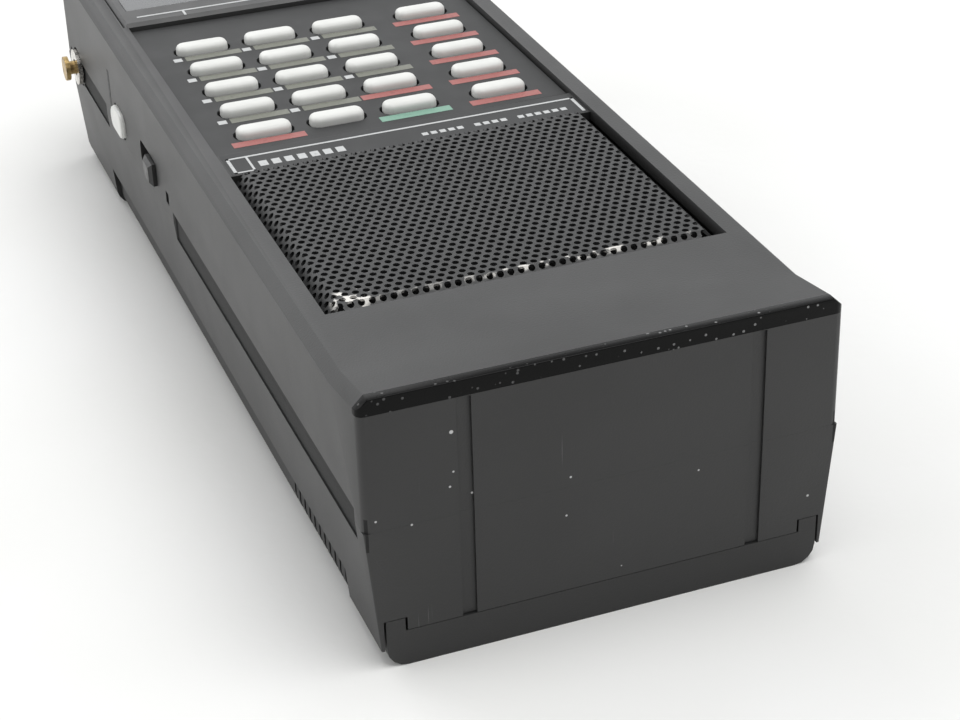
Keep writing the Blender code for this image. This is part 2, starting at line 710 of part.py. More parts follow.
def keys(look):
    """The keys: rounded caps on a flange that keeps them behind the panel."""
    height = KEY_TOP - KEY_FLANGE_TOP
    cap = prism(rounded_rectangle(KEY_LENGTH, KEY_WIDTH, KEY_CORNER_RADIUS, 3), "Z",
                -GAP, height)
    bevel_edges(cap, lambda a, b: min(a.z, b.z) > height - GAP, KEY_EDGE, 2)
    hole_length = KEY_LENGTH + 2 * KEY_CLEARANCE
    hole_width = KEY_WIDTH + 2 * KEY_CLEARANCE
    foot = prism(rectangle((-hole_length / 2 - KEY_FLANGE, -hole_width / 2 - KEY_FLANGE),
                           (hole_length / 2 + KEY_FLANGE, hole_width / 2 + KEY_FLANGE)),
                 "Z", -KEY_FLANGE_THICKNESS, 0)
    first = None
    for name, x, y in key_places():
        place = (x, y, KEY_FLANGE_TOP)
        if first is None:
            first = node(name, foot, look, place)
            add(first, tool("key_cap", cap, place))
            first.data = evaluated_mesh(first)
            first.modifiers.clear()
        else:
            place_mesh(name, first.data, place)


def evaluated_mesh(source):
    """A plain mesh of the object with its modifiers applied."""
    bpy.context.view_layer.update()
    graph = bpy.context.evaluated_depsgraph_get()
    return bpy.data.meshes.new_from_object(source.evaluated_get(graph))


def keypad_mat(look):
    edge = OPENING_HALF - WALL
    low = MAT_TOP - KEY_MAT_THICKNESS
    mat = node("keypad_mat", box((-edge, KEYPAD_START + WALL, low),
                                 (edge, KEYPAD_END - WALL, MAT_TOP)), look)
    domes = [moved(cylinder(KEY_WIDTH / 2, low + GAP, MAT_TOP + MAT_DOME, 10), (x, y, 0))
             for _, x, y in key_places()]
    add(mat, tool("mat_domes", joined(domes)))
    return mat


def boards(look, can):
    low = KEYPAD_BOARD_TOP - BOARD_THICKNESS
    narrow = OPENING_HALF - GAP
    node("keypad_board", box((-narrow, KEYPAD_START, low),
                             (narrow, KEYPAD_END - GAP, KEYPAD_BOARD_TOP)), look)
    low = MAIN_BOARD_TOP - BOARD_THICKNESS
    node("main_board", box((-SWITCH_FACE, GRILLE_END + WALL / 2, low),
                           (SWITCH_FACE, DISPLAY_END - 4 * WALL, MAIN_BOARD_TOP)), look)

    low = MAIN_BOARD_TOP + GAP
    node("tuner_shield", box((-OPENING_HALF + 4 * WALL, KEYPAD_START + 2 * WALL, low),
                             (OPENING_HALF / 4, KEYPAD_END - 3 * WALL, low + SHIELD_HEIGHT)), can)


def display(bezel_look, window_look, lcd_look):
    top = FRONT + BEZEL_PROUD
    near = KEYPAD_END + GAP
    far = DISPLAY_END - GAP
    half = BEZEL_HALF - GAP
    bm = box((-half, near, PANEL_UNDER), (half, far, top))
    bevel_edges(bm, lambda a, b: min(a.z, b.z) > top - GAP, BEZEL_PROUD + GAP, 1)
    bezel = node("display_bezel", bm, bezel_look)
    flange_half = HALF_WIDTH - WALL - GAP
    flange = box((-flange_half, near + WALL, PANEL_UNDER),
                 (flange_half, far - WALL, INNER_FRONT - GAP))
    add(bezel, tool("bezel_flange", flange))

    window_half = BEZEL_HALF - WINDOW_MARGIN_SIDE
    window_near = KEYPAD_END + WINDOW_MARGIN_NEAR
    window_far = DISPLAY_END - WINDOW_MARGIN_FAR
    window_top = top - WINDOW_SUNK
    ledge = window_top - WINDOW_THICKNESS - GAP
    pocket = box((-window_half - GAP, window_near - GAP, ledge),
                 (window_half + GAP, window_far + GAP, FAR))
    inner_half = window_half - WINDOW_LEDGE_SIDE
    through = box((-inner_half, window_near + WINDOW_LEDGE, 0),
                  (inner_half, window_far - WINDOW_LEDGE, FAR))
    cut(bezel, tool("window_pocket", pocket), tool("window_through", through))
    node("display_window", box((-window_half, window_near, window_top - WINDOW_THICKNESS),
                               (window_half, window_far, window_top)), window_look)

    lcd_top = PANEL_UNDER - GAP
    lcd_half = inner_half + WALL / 2
    lcd_near = window_near + WINDOW_LEDGE - WALL / 2
    lcd_far = window_far - WINDOW_LEDGE + WALL / 2
    node("lcd_panel", box((-lcd_half, lcd_near, lcd_top - LCD_THICKNESS),
                          (lcd_half, lcd_far, lcd_top)), lcd_look)


# Grille and loudspeaker.

def grille(look, cloth_look):
    """The grille: a shallow tray of sheet, its sides folded down to the edge of the opening."""
    top = FRONT
    rim = OPENING_HALF - GAP
    near = GRILLE_MARGIN + GAP
    far = GRILLE_END - GAP
    bm = box((-rim, near, top - GRILLE_DROP), (rim, far, top))
    for vert in bm.verts:
        if vert.co.z > top - GAP:
            vert.co.x -= math.copysign(GRILLE_SLOPE, vert.co.x)
            if vert.co.y < GRILLE_MARGIN + GRILLE_SLOPE:
                vert.co.y += GRILLE_SLOPE
    tray = node("speaker_grille", bm, look)
    hollow = box((-rim + GRILLE_SHEET, near + GRILLE_SHEET, 0),
                 (rim - GRILLE_SHEET, far - GRILLE_SHEET, top - GRILLE_SHEET))
    for vert in hollow.verts:
        if vert.co.z > GAP:
            vert.co.x -= math.copysign(GRILLE_SLOPE, vert.co.x)
            if vert.co.y < GRILLE_MARGIN + GRILLE_SLOPE:
                vert.co.y += GRILLE_SLOPE
        else:
            vert.co.z = top - GRILLE_DROP - GAP
    cut(tray, tool("grille_hollow", hollow))

    cloth_top = top - GRILLE_DROP - GAP
    node("grille_cloth", box((-rim, near, cloth_top - CLOTH_THICKNESS),
                             (rim, far, cloth_top)), cloth_look)


def speaker(frame_look, cone_look, magnet_look):
    x, y = 0, GRILLE_MARGIN + GRILLE_LENGTH / 2
    top = FRONT - GRILLE_DROP - 2 * GAP - CLOTH_THICKNESS
    thick = SPEAKER_FRAME_THICKNESS
    outer = SPEAKER_RADIUS + SPEAKER_FLANGE
    neck = MAGNET_RADIUS - thick
    frame = hollow_turned([
        (outer, -thick), (outer, 0), (SPEAKER_RADIUS - thick, 0), (SPEAKER_RADIUS - thick, -thick),
        (neck, -SPEAKER_DEPTH + thick), (neck / 2, -SPEAKER_DEPTH + thick),
        (neck / 2, -SPEAKER_DEPTH), (neck + thick, -SPEAKER_DEPTH), (SPEAKER_RADIUS, -2 * thick),
        (SPEAKER_RADIUS, -thick),
    ], 32)
    node("speaker_frame", frame, frame_look, (x, y, top))

    rim = SPEAKER_RADIUS - thick - GAP
    coil = MAGNET_RADIUS / 2
    deep = -SPEAKER_DEPTH + 2 * thick + GAP + CONE_THICKNESS
    cap = deep + 2 * CONE_THICKNESS
    cone = turned([(0, deep), (coil, deep), (rim - 2 * thick, -thick), (rim, -thick),
                   (rim, -thick + CONE_THICKNESS), (rim - 2 * thick, -thick + CONE_THICKNESS),
                   (coil, cap), (0, cap + DUST_CAP_RISE)], 32)
    node("speaker_cone", cone, cone_look, (x, y, top))

    under = -SPEAKER_DEPTH - GAP
    magnet = cylinder(MAGNET_RADIUS, under - MAGNET_DEPTH, under)
    node("speaker_magnet", magnet, magnet_look, (x, y, top))


# Battery.

def cell_axes():
    """The x of each row of cells."""
    return (-CELL_RADIUS - GAP / 2, CELL_RADIUS + GAP / 2)


def cells(look):
    """Four cells in two rows, the rows pointing opposite ways."""
    first = BAY_START + CONTACT_SPACE
    body = CELL_LENGTH - CELL_NUB_LENGTH
    for row, x in enumerate(cell_axes()):
        for number in range(2):
            start = first + number * (CELL_LENGTH + GAP)
            cell = turned([(0, 0), (CELL_RADIUS, 0), (CELL_RADIUS, body), (CELL_NUB_RADIUS, body),
                           (CELL_NUB_RADIUS, CELL_LENGTH), (0, CELL_LENGTH)], 20)
            end, points = (start, "+Y") if row == 0 else (start + CELL_LENGTH, "-Y")
            node(f"battery_cell_{2 * row + number + 1}", cell, look, (x, end, CELL_AXIS), points)


def spring(name, place, way):
    """A conical contact spring, wide at its plate."""
    per_turn = 10
    points = SPRING_TURNS * per_turn
    narrowing = SPRING_WIDE_SHARE - SPRING_NARROW_SHARE
    curve = bpy.data.curves.new(name, "CURVE")
    curve.dimensions = "3D"
    curve.bevel_depth = SPRING_WIRE
    curve.bevel_resolution = 1
    curve.use_fill_caps = True
    spline = curve.splines.new("POLY")
    spline.points.add(points - 1)
    depth = CONTACT_SPACE - CONTACT_THICKNESS - 2 * GAP - 2 * SPRING_WIRE
    for k, point in enumerate(spline.points):
        share = k / (points - 1)
        angle = 2 * math.pi * k / per_turn
        radius = CELL_RADIUS * (SPRING_WIDE_SHARE - narrowing * share)
        point.co = (radius * math.cos(angle), way * depth * share, radius * math.sin(angle), 1)
    route = place_mesh(f"{name}_route", curve, (0, 0, 0))
    mesh = evaluated_mesh(route)
    bpy.data.objects.remove(route)
    wire = place_mesh(name, mesh, place)
    wire.hide_render = True
    wire.display_type = "WIRE"
    return wire


def contacts(look, board_look):
    """The terminal board at the near end of the bay and the bridge at its far end."""
    near = BAY_START + GAP
    far = BAY_START + BAY_LENGTH - GAP
    reach = CELL_RADIUS * CONTACT_REACH_SHARE
    low = (-CELL_RADIUS - reach, CELL_AXIS - reach)
    high = (CELL_RADIUS + reach, CELL_AXIS + reach)
    plates = [("terminal_board", near, near + CONTACT_THICKNESS, 0, 1, board_look),
              ("contact_bridge", far - CONTACT_THICKNESS, far, 1, -1, look)]
    for name, start, end, row, way, plate_look in plates:
        plate = node(name, box((low[0], start, low[1]), (high[0], end, high[1])), plate_look)
        face = end if way > 0 else start
        place = (cell_axes()[row], face + way * SPRING_WIRE / 2, CELL_AXIS)
        add(plate, spring(f"{name}_spring", place, way))


# Left side controls.

def side_button(look, switch_look):
    y, z = BUTTON_PLACE
    z += REAR_DEPTH
    depth = HALF_WIDTH + BUTTON_PROUD - CONTROL_SEAT
    cap = prism(rounded_rectangle(BUTTON_HEIGHT, BUTTON_LENGTH, BUTTON_HEIGHT / 2 - GAP / 2, 5),
                "Z", -GAP, depth)
    bevel_edges(cap, lambda a, b: min(a.z, b.z) > depth - GAP, BUTTON_EDGE, 2)
    foot = prism(rectangle((-BUTTON_HEIGHT / 2 - WALL / 2, -BUTTON_LENGTH / 2 - WALL / 2),
                           (BUTTON_HEIGHT / 2 + WALL / 2, BUTTON_LENGTH / 2 + WALL / 2)),
                 "Z", -CONTROL_FOOT, 0)
    place = (-CONTROL_SEAT, y, z)
    button = node("side_button", foot, look, place, "-X")
    add(button, tool("side_button_cap", cap, place, "-X"))

    back = -SWITCH_FACE
    size = BUTTON_HEIGHT / 2
    low = max(z - size, MAIN_BOARD_TOP + GAP)
    node("side_button_switch", box((back, y - size, low), (back + size, y + size, z + size)),
         switch_look)


def slide_switch(look, body_look):
    y = SLIDE_REST
    z = SLOT_PLACE[1] + REAR_DEPTH
    depth = HALF_WIDTH + SLIDE_KNOB_PROUD - CONTROL_SEAT
    height = SLOT_HEIGHT - 2 * RUN
    knob = prism(rectangle((-height / 2, -SLIDE_KNOB_LENGTH / 2),
                           (height / 2, SLIDE_KNOB_LENGTH / 2)), "Z", -GAP, depth)
    bevel_edges(knob, lambda a, b: min(a.z, b.z) > depth - GAP, 2 * GAP, 1)
    start = SLOT_PLACE[0] - SLOT_LENGTH / 2 - SLIDE_TRAVEL - GAP
    end = SLOT_PLACE[0] + SLOT_LENGTH / 2 + GAP
    shutter = box((-SLOT_HEIGHT / 2 - GAP, start - y, -CONTROL_FOOT),
                  (SLOT_HEIGHT / 2 + GAP, end - y, 0))
    place = (-CONTROL_SEAT, y, z)
    made = node("slide_knob", shutter, look, place, "-X")
    add(made, tool("slide_knob_grip", knob, place, "-X"))

    back = -SWITCH_FACE
    half = SLOT_LENGTH / 2
    low = max(z - SLOT_HEIGHT / 2, MAIN_BOARD_TOP + GAP)
    node("slide_switch", box((back, SLOT_PLACE[0] - half, low),
                             (back + SLOT_HEIGHT, SLOT_PLACE[0] + half, z + SLOT_HEIGHT / 2)),
         body_look)


def strap_stud(look, washer_look):
    wall_face = HALF_WIDTH - GROOVE_DEPTH
    neck = GROOVE_DEPTH + STUD_PROUD
    head = neck - WASHER_THICKNESS
    inside = -WALL - WASHER_THICKNESS
    shank = STUD_RADIUS
    stud = turned([(0, inside), (shank, inside), (shank, head),
                   (STUD_HEAD_RADIUS, head), (STUD_HEAD_RADIUS, neck), (0, neck)], 16)
    node("strap_stud", stud, look, (-wall_face, *STUD_PLACE), "-X")
    washer = hollow_turned(rectangle((shank + GAP, GAP),
                                     (WASHER_RADIUS, GAP + WASHER_THICKNESS)))
    node("strap_washer", washer, washer_look, (-wall_face, *STUD_PLACE), "-X")


# Antenna end.

def antenna_socket(look, nut_look):
    """A bayonet socket, its flange behind the end wall and its nut in front of it."""
    bore = BNC_BORE_RADIUS
    flange = BNC_RADIUS + JACK_SHOULDER
    back = -WALL - GAP
    pin = BNC_PIN_RADIUS
    socket = turned([
        (0, back - 4 * WALL), (WALL, back - 4 * WALL), (WALL, back - WALL), (flange, back - WALL),
        (flange, back), (BNC_RADIUS, back), (BNC_RADIUS, BNC_LENGTH), (bore, BNC_LENGTH),
        (bore, WALL), (pin, WALL), (pin, BNC_LENGTH - WALL), (0, BNC_LENGTH - WALL),
    ], 24)
    place = (BNC_X, BODY_LENGTH, HEAD_AXIS)
    jack = node("bnc_jack", socket, look, place, "+Y")
    lugs = []
    for way in (-1, 1):
        lug = cylinder(BNC_LUG_RADIUS, BNC_RADIUS - GAP, BNC_RADIUS + BNC_LUG_RADIUS, 10)
        bmesh.ops.rotate(lug, verts=lug.verts, cent=(0, 0, 0),
                         matrix=Matrix.Rotation(way * math.pi / 2, 3, "Y"))
        lugs.append(moved(lug, (0, 0, BNC_LENGTH - 2 * WALL)))
    add(jack, tool("bnc_lugs", joined(lugs), place, "+Y"))
    nut = cylinder(BNC_NUT_RADIUS, GAP, WALL + GAP, 6)
    made = node("bnc_nut", nut, nut_look, place, "+Y")
    cut(made, tool("bnc_nut_bore", cylinder(BNC_RADIUS + GAP, -WALL, 3 * WALL), place, "+Y"))


def control(name, x, knob_look, pot_look):
    """A knob on its shaft, and the potentiometer that the shaft turns in."""
    place = (x, BODY_LENGTH, HEAD_AXIS)
    start = WALL / 2
    knob_end = start + KNOB_LENGTH
    shaft_end = knob_end - WALL
    shaft_start = shaft_end - SHAFT_LENGTH
    outline = []
    for k in range(2 * KNOB_FLUTES):
        radius = KNOB_RADIUS if k % 2 else KNOB_RADIUS - GAP
        angle = math.pi * k / KNOB_FLUTES
        outline.append((radius * math.cos(angle), radius * math.sin(angle)))
    bm = prism(outline, "Z", start, knob_end)
    bevel_edges(bm, lambda a, b: min(a.z, b.z) > knob_end - GAP, 2 * GAP, 1)
    knob = node(f"{name}_knob", bm, knob_look, place, "+Y")
    bore = cylinder(BUSHING_RADIUS + GAP, -WALL, 2 * WALL, 20)
    cut(knob, tool(f"{name}_knob_bore", bore, place, "+Y"))
    shaft = cylinder(SHAFT_RADIUS, shaft_start, shaft_end + WALL / 2, 20)
    add(knob, tool(f"{name}_shaft", shaft, place, "+Y"))

    back = -WALL - GAP
    half = POT_SIZE / 2
    pot = node(f"{name}_pot", box((-half, -half, back - POT_DEPTH), (half, half, back)),
               pot_look, place, "+Y")
    bushing = cylinder(BUSHING_RADIUS, back - GAP, start + WALL, 20)
    add(pot, tool(f"{name}_bushing", bushing, place, "+Y"))
    clear = cylinder(SHAFT_RADIUS + RUN, shaft_start - GAP, 4 * WALL, 20)
    cut(pot, tool(f"{name}_pot_bore", clear, place, "+Y"))


def jacks(look, dc_look):
    """The earphone jack in the antenna end and the supply jack in the right side."""
    mouth = GAP - end_at(EARPHONE_HEIGHT)
    inside = -2 * WALL - GAP
    depth = 5 * WALL
    bore = EARPHONE_BORE_RADIUS
    barrel = EARPHONE_RADIUS + JACK_SHOULDER
    jack = turned([(0, inside - depth), (barrel, inside - depth), (barrel, inside),
                   (EARPHONE_RADIUS, inside), (EARPHONE_RADIUS, mouth), (bore, mouth),
                   (bore, inside - depth + WALL / 2), (0, inside - depth + WALL / 2)], 20)
    node("earphone_jack", jack, look, (EARPHONE_X, BODY_LENGTH, EARPHONE_HEIGHT), "+Y")

    mouth = -GAP
    deep = -DC_LENGTH
    pin = DC_PIN_RADIUS
    supply = turned([(0, deep), (DC_RADIUS, deep), (DC_RADIUS, mouth), (DC_BORE_RADIUS, mouth),
                     (DC_BORE_RADIUS, deep + WALL), (pin, deep + WALL), (pin, mouth - WALL / 2),
                     (0, mouth - WALL / 2)], 20)
    node("dc_jack", supply, dc_look,
         (HALF_WIDTH, BODY_LENGTH - DC_FROM_TOP, FRONT - DC_AXIS_DROP), "+X")


# Fasteners.

def screw(head_low, tip, steps=12):
    """A pan-head screw pointing up, its slot left out."""
    head_high = head_low + SCREW_HEAD_HEIGHT
    return turned([(0, head_low), (SCREW_HEAD_RADIUS, head_low + GAP),
                   (SCREW_HEAD_RADIUS, head_high), (SCREW_RADIUS, head_high),
                   (SCREW_RADIUS, tip), (0, tip + SCREW_RADIUS / 2)], steps)


def case_screws(look):
    for number, (x, y, face) in enumerate(case_screw_places()):
        seat = face + SCREW_SEAT - GAP
        tip = REAR_DEPTH + SCREW_REACH - SCREW_RADIUS
        node(f"case_screw_{number + 1}", screw(seat - SCREW_HEAD_HEIGHT, tip), look, (x, y, 0))


def build():
    clear_scene()
    origin = bpy.data.objects.new("receiver", None)
    origin.location = (0, -BODY_LENGTH / 2, 0)
    bpy.context.scene.collection.objects.link(origin)

    charcoal = material("charcoal plastic", (0.10, 0.102, 0.105), 0.55)
    dark = material("dark plastic", (0.045, 0.046, 0.048), 0.5)
    panel_grey = material("panel grey", (0.145, 0.145, 0.152), 0.6)
    key_white = material("key white", (0.74, 0.73, 0.69), 0.5)
    black = material("black plastic", (0.015, 0.015, 0.016), 0.4)
    clear = material("window plastic", (0.05, 0.055, 0.055), 0.1, alpha=0.5)
    lcd_green = material("display glass", (0.30, 0.33, 0.25), 0.2)
    black_sheet = material("painted sheet", (0.02, 0.02, 0.022), 0.4, 0.2)
    felt = material("black felt", (0.01, 0.01, 0.01), 0.95)
    steel = material("plated steel", (0.62, 0.62, 0.62), 0.3, 1.0)
    paper = material("cone paper", (0.03, 0.03, 0.03), 0.9)
    ferrite = material("ferrite", (0.04, 0.04, 0.045), 0.6)
    rubber = material("mat rubber", (0.30, 0.30, 0.30), 0.8)
    laminate = material("board laminate", (0.05, 0.17, 0.07), 0.5)
    tin = material("tin plate", (0.66, 0.66, 0.64), 0.35, 1.0)
    sleeve = material("cell sleeve", (0.10, 0.10, 0.30), 0.4)
    brass = material("brass", (0.62, 0.48, 0.24), 0.35, 1.0)
    nickel = material("nickel", (0.70, 0.69, 0.66), 0.25, 1.0)

    front_case(charcoal)
    rear_case(charcoal)
    battery_cover(dark)
    keypad_panel(panel_grey)
    keys(key_white)
    keypad_mat(rubber)
    boards(laminate, tin)
    display(dark, clear, lcd_green)
    grille(black_sheet, felt)
    speaker(steel, paper, ferrite)
    cells(sleeve)
    contacts(nickel, laminate)
    side_button(key_white, black)
    slide_switch(black, black)
    strap_stud(brass, nickel)
    antenna_socket(nickel, nickel)
    control("volume", VOLUME_X, black, nickel)
    control("squelch", SQUELCH_X, black, nickel)
    jacks(black, black)
    case_screws(steel)


build()
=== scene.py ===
import json
import math

import bmesh
import bpy
from mathutils import Matrix, Vector


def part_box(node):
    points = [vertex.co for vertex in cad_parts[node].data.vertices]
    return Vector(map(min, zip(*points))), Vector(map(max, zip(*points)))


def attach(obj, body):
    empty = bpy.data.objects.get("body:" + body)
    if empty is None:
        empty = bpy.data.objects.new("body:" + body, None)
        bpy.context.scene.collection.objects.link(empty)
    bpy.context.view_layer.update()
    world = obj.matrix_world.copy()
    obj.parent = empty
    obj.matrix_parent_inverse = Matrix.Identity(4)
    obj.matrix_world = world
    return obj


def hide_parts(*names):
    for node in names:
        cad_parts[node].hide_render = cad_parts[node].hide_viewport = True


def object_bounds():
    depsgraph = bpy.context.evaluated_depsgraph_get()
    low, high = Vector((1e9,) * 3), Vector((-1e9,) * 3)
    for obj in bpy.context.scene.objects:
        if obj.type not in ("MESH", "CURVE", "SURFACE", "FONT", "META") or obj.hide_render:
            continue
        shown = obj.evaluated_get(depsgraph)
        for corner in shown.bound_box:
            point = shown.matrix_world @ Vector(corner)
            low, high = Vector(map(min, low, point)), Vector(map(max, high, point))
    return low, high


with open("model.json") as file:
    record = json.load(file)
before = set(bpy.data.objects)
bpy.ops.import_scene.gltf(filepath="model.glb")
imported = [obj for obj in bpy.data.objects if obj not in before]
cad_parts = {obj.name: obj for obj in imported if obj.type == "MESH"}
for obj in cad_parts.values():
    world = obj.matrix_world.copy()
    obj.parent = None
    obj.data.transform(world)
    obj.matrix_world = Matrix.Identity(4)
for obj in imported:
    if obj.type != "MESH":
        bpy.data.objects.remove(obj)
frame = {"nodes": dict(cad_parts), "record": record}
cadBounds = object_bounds()
mm = 0.001


# small helpers for modelling with operators

def only(piece):
    # an operator acts on all that is selected, and loading leaves every node selected
    bpy.ops.object.select_all(action="DESELECT")
    piece.select_set(True)
    bpy.context.view_layer.objects.active = piece


def startBox(name, low, high):
    bpy.ops.object.select_all(action="DESELECT")
    low, high = Vector(low), Vector(high)
    bpy.ops.mesh.primitive_cube_add(size=1, location=(low + high) / 2, scale=high - low)
    piece = bpy.context.object
    piece.name = name
    bpy.ops.object.transform_apply(location=True, rotation=True, scale=True)
    return piece


def pick(piece, kind, test):
    # in edit mode, selects the faces, edges or vertices that pass the test, and nothing else
    bpy.ops.mesh.select_mode(type={"faces": "FACE", "edges": "EDGE", "verts": "VERT"}[kind])
    bpy.ops.mesh.select_all(action="DESELECT")
    bm = bmesh.from_edit_mesh(piece.data)
    for part in getattr(bm, kind):
        if test(part):
            part.select_set(True)
    bm.select_flush_mode()
    bmesh.update_edit_mesh(piece.data)


def bevelAt(piece, test, width, segments):
    only(piece)
    bpy.ops.object.mode_set(mode="EDIT")
    pick(piece, "edges", test)
    bpy.ops.mesh.bevel(offset=width, segments=segments, profile=0.5, affect="EDGES",
                       clamp_overlap=True)
    bpy.ops.object.mode_set(mode="OBJECT")


def raiseVerts(piece, test, rise):
    only(piece)
    bpy.ops.object.mode_set(mode="EDIT")
    pick(piece, "verts", test)
    bpy.ops.transform.translate(value=(0, 0, rise))
    bpy.ops.object.mode_set(mode="OBJECT")


def isSharp(edge, degrees):
    return len(edge.link_faces) == 2 and edge.calc_face_angle() > math.radians(degrees)


def lowestOf(edge):
    return min(vert.co.z for vert in edge.verts)


def smooth(piece, degrees=30):
    only(piece)
    bpy.ops.object.shade_smooth_by_angle(angle=math.radians(degrees))


def weld(piece, distance):
    # merges doubles, then turns the faces outwards
    only(piece)
    bpy.ops.object.mode_set(mode="EDIT")
    bpy.ops.mesh.select_all(action="SELECT")
    bpy.ops.mesh.remove_doubles(threshold=distance)
    bpy.ops.mesh.normals_make_consistent(inside=False)
    bpy.ops.object.mode_set(mode="OBJECT")


def joined(pieces, name):
    bpy.ops.object.select_all(action="DESELECT")
    for piece in pieces:
        piece.select_set(True)
    bpy.context.view_layer.objects.active = pieces[0]
    if len(pieces) > 1:
        bpy.ops.object.join()
    whole = bpy.context.object
    whole.name = name
    return whole


nodeCopy = {"merge": 0.002 * mm, "flatDegrees": 0.3}


def copyOfNode(node, name):
    # the node's own shape as one welded mesh, ready for finer edges
    piece = bpy.data.objects.new(name, frame["nodes"][node].data.copy())
    bpy.context.scene.collection.objects.link(piece)
    only(piece)
    bpy.ops.mesh.customdata_custom_splitnormals_clear()
    bpy.ops.object.mode_set(mode="EDIT")
    bpy.ops.mesh.select_all(action="SELECT")
    bpy.ops.mesh.remove_doubles(threshold=nodeCopy["merge"])
    bpy.ops.mesh.dissolve_limited(angle_limit=math.radians(nodeCopy["flatDegrees"]))
    bpy.ops.object.mode_set(mode="OBJECT")
    return piece


def fit(piece, look, body="radio", nodes=()):
    piece.data.materials.clear()
    piece.data.materials.append(look)
    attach(piece, body)
    if nodes:
        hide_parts(*nodes)
    return piece


# small helpers for materials

def newLook(name, shader):
    look = bpy.data.materials.new(name)
    look.use_nodes = True
    for socket, value in shader.items():
        look.node_tree.nodes["Principled BSDF"].inputs[socket].default_value = value
    return look


def add(look, kind, inputs=(), **settings):
    made = look.node_tree.nodes.new("ShaderNode" + kind)
    for name, value in settings.items():
        setattr(made, name, value)
    for socket, value in dict(inputs).items():
        if isinstance(value, bpy.types.NodeSocket):
            look.node_tree.links.new(value, made.inputs[socket])
        else:
            made.inputs[socket].default_value = value
    return made


def placeOn(look):
    return add(look, "TexCoord").outputs["Object"]


def noise(look, place, size, detail=2.0):
    inputs = {"Vector": place, "Scale": 1 / size, "Detail": detail}
    return add(look, "TexNoise", inputs).outputs["Fac"]


def tones(look, place, size, toLow=0.0, toHigh=1.0, detail=2.0):
    # soft patches that go from toLow to toHigh
    return spread(look, noise(look, place, size, detail), 0.3, 0.7, toLow, toHigh)


def stretched(look, place, scale):
    return add(look, "Mapping", {"Vector": place, "Scale": scale}).outputs["Vector"]


def spread(look, value, low, high, toLow=0.0, toHigh=1.0):
    inputs = {"Value": value, "From Min": low, "From Max": high,
              "To Min": toLow, "To Max": toHigh}
    return add(look, "MapRange", inputs, interpolation_type="SMOOTHSTEP").outputs["Result"]


def sums(look, operation, first, *others):
    # the same clamped operation on two or more values
    for other in others:
        first = add(look, "Math", {0: first, 1: other}, operation=operation,
                    use_clamp=True).outputs[0]
    return first


def mixed(look, share, a, b):
    return add(look, "Mix", {0: share, 6: a, 7: b}, data_type="RGBA").outputs[2]


def mixedValue(look, share, a, b):
    return add(look, "Mix", {0: share, 2: a, 3: b}, data_type="FLOAT").outputs[0]


def specks(look, place, kind):
    # small round specks, with a soft rim, in a share of the cells
    cells = add(look, "TexVoronoi", {"Vector": place, "Scale": 1 / kind["size"], "Randomness": 1.0})
    near = spread(look, cells.outputs["Distance"], kind["radius"], kind["radius"] * 0.6)
    lot = add(look, "SeparateXYZ", {0: cells.outputs["Color"]}).outputs[0]
    return sums(look, "MULTIPLY", near, sums(look, "GREATER_THAN", lot, 1 - kind["share"]))


def wire(look, colour=None, rough=None, height=None, depth=None):
    shader = look.node_tree.nodes["Principled BSDF"]
    link = look.node_tree.links.new
    if colour is not None:
        link(colour, shader.inputs["Base Color"])
    if rough is not None:
        link(rough, shader.inputs["Roughness"])
    if height is not None:
        bump = add(look, "Bump", {"Strength": 1.0, "Distance": depth, "Height": height})
        link(bump.outputs["Normal"], shader.inputs["Normal"])


def grey(value, warm=0.0):
    return (value * (1 + warm), value, value * (1 - warm), 1.0)


# plastics

def mouldedPlastic(name, finish):
    # spark-eroded mould texture: a fine grain, and large soft changes of tone and gloss
    look = newLook(name, {"Specular IOR Level": finish["shine"]})
    place = placeOn(look)
    colour = mixed(look, tones(look, place, finish["mottle"]), finish["dark"], finish["light"])
    rough = tones(look, place, finish["mottle"] / 3, *finish["rough"])
    wire(look, colour, rough, noise(look, place, finish["grain"], 3.0), finish["depth"])
    return look


caseFinish = {
    "dark": grey(0.021), "light": grey(0.026), "shine": 0.5, "rough": (0.455, 0.485),
    "grain": 0.30 * mm, "mottle": 30 * mm, "depth": 0.03 * mm,
}
# the lip's near-black tone is painted shade, and its glint specks are painted highlights
lipWearAndPaintedLight = {
    "endFace": -85.4 * mm, "from": 38.3 * mm, "tone": grey(0.003), "shine": 0.12, "rough": 0.24,
    "grain": 0.45 * mm, "relief": 2.5, "paintedGlint": grey(0.22),
    "paintedGlints": {"size": 0.75 * mm, "radius": 0.3, "share": 0.3},
    "fewFrom": -20 * mm, "manyFrom": 30 * mm, "few": 0.35,
}
# painted shade for the side grooves, and the bounds where it lies
paintedGrooveShade = {
    "tone": grey(0.004), "rough": 0.75, "floor": 32.75 * mm, "deep": 0.4 * mm,
    "low": 18.75 * mm, "high": 23.55 * mm,
}
dustFinish = {
    "tone": grey(0.55), "dots": {"size": 2.6 * mm, "radius": 0.075, "share": 0.26},
    "motes": {"size": 8.0 * mm, "radius": 0.04, "share": 0.8},
    "streaks": (2600, 60, 50), "streakFrom": 0.74, "streakFull": 0.80, "streakShare": 0.4,
    "patch": 14 * mm, "patchFrom": 0.52, "patchFull": 0.66,
}


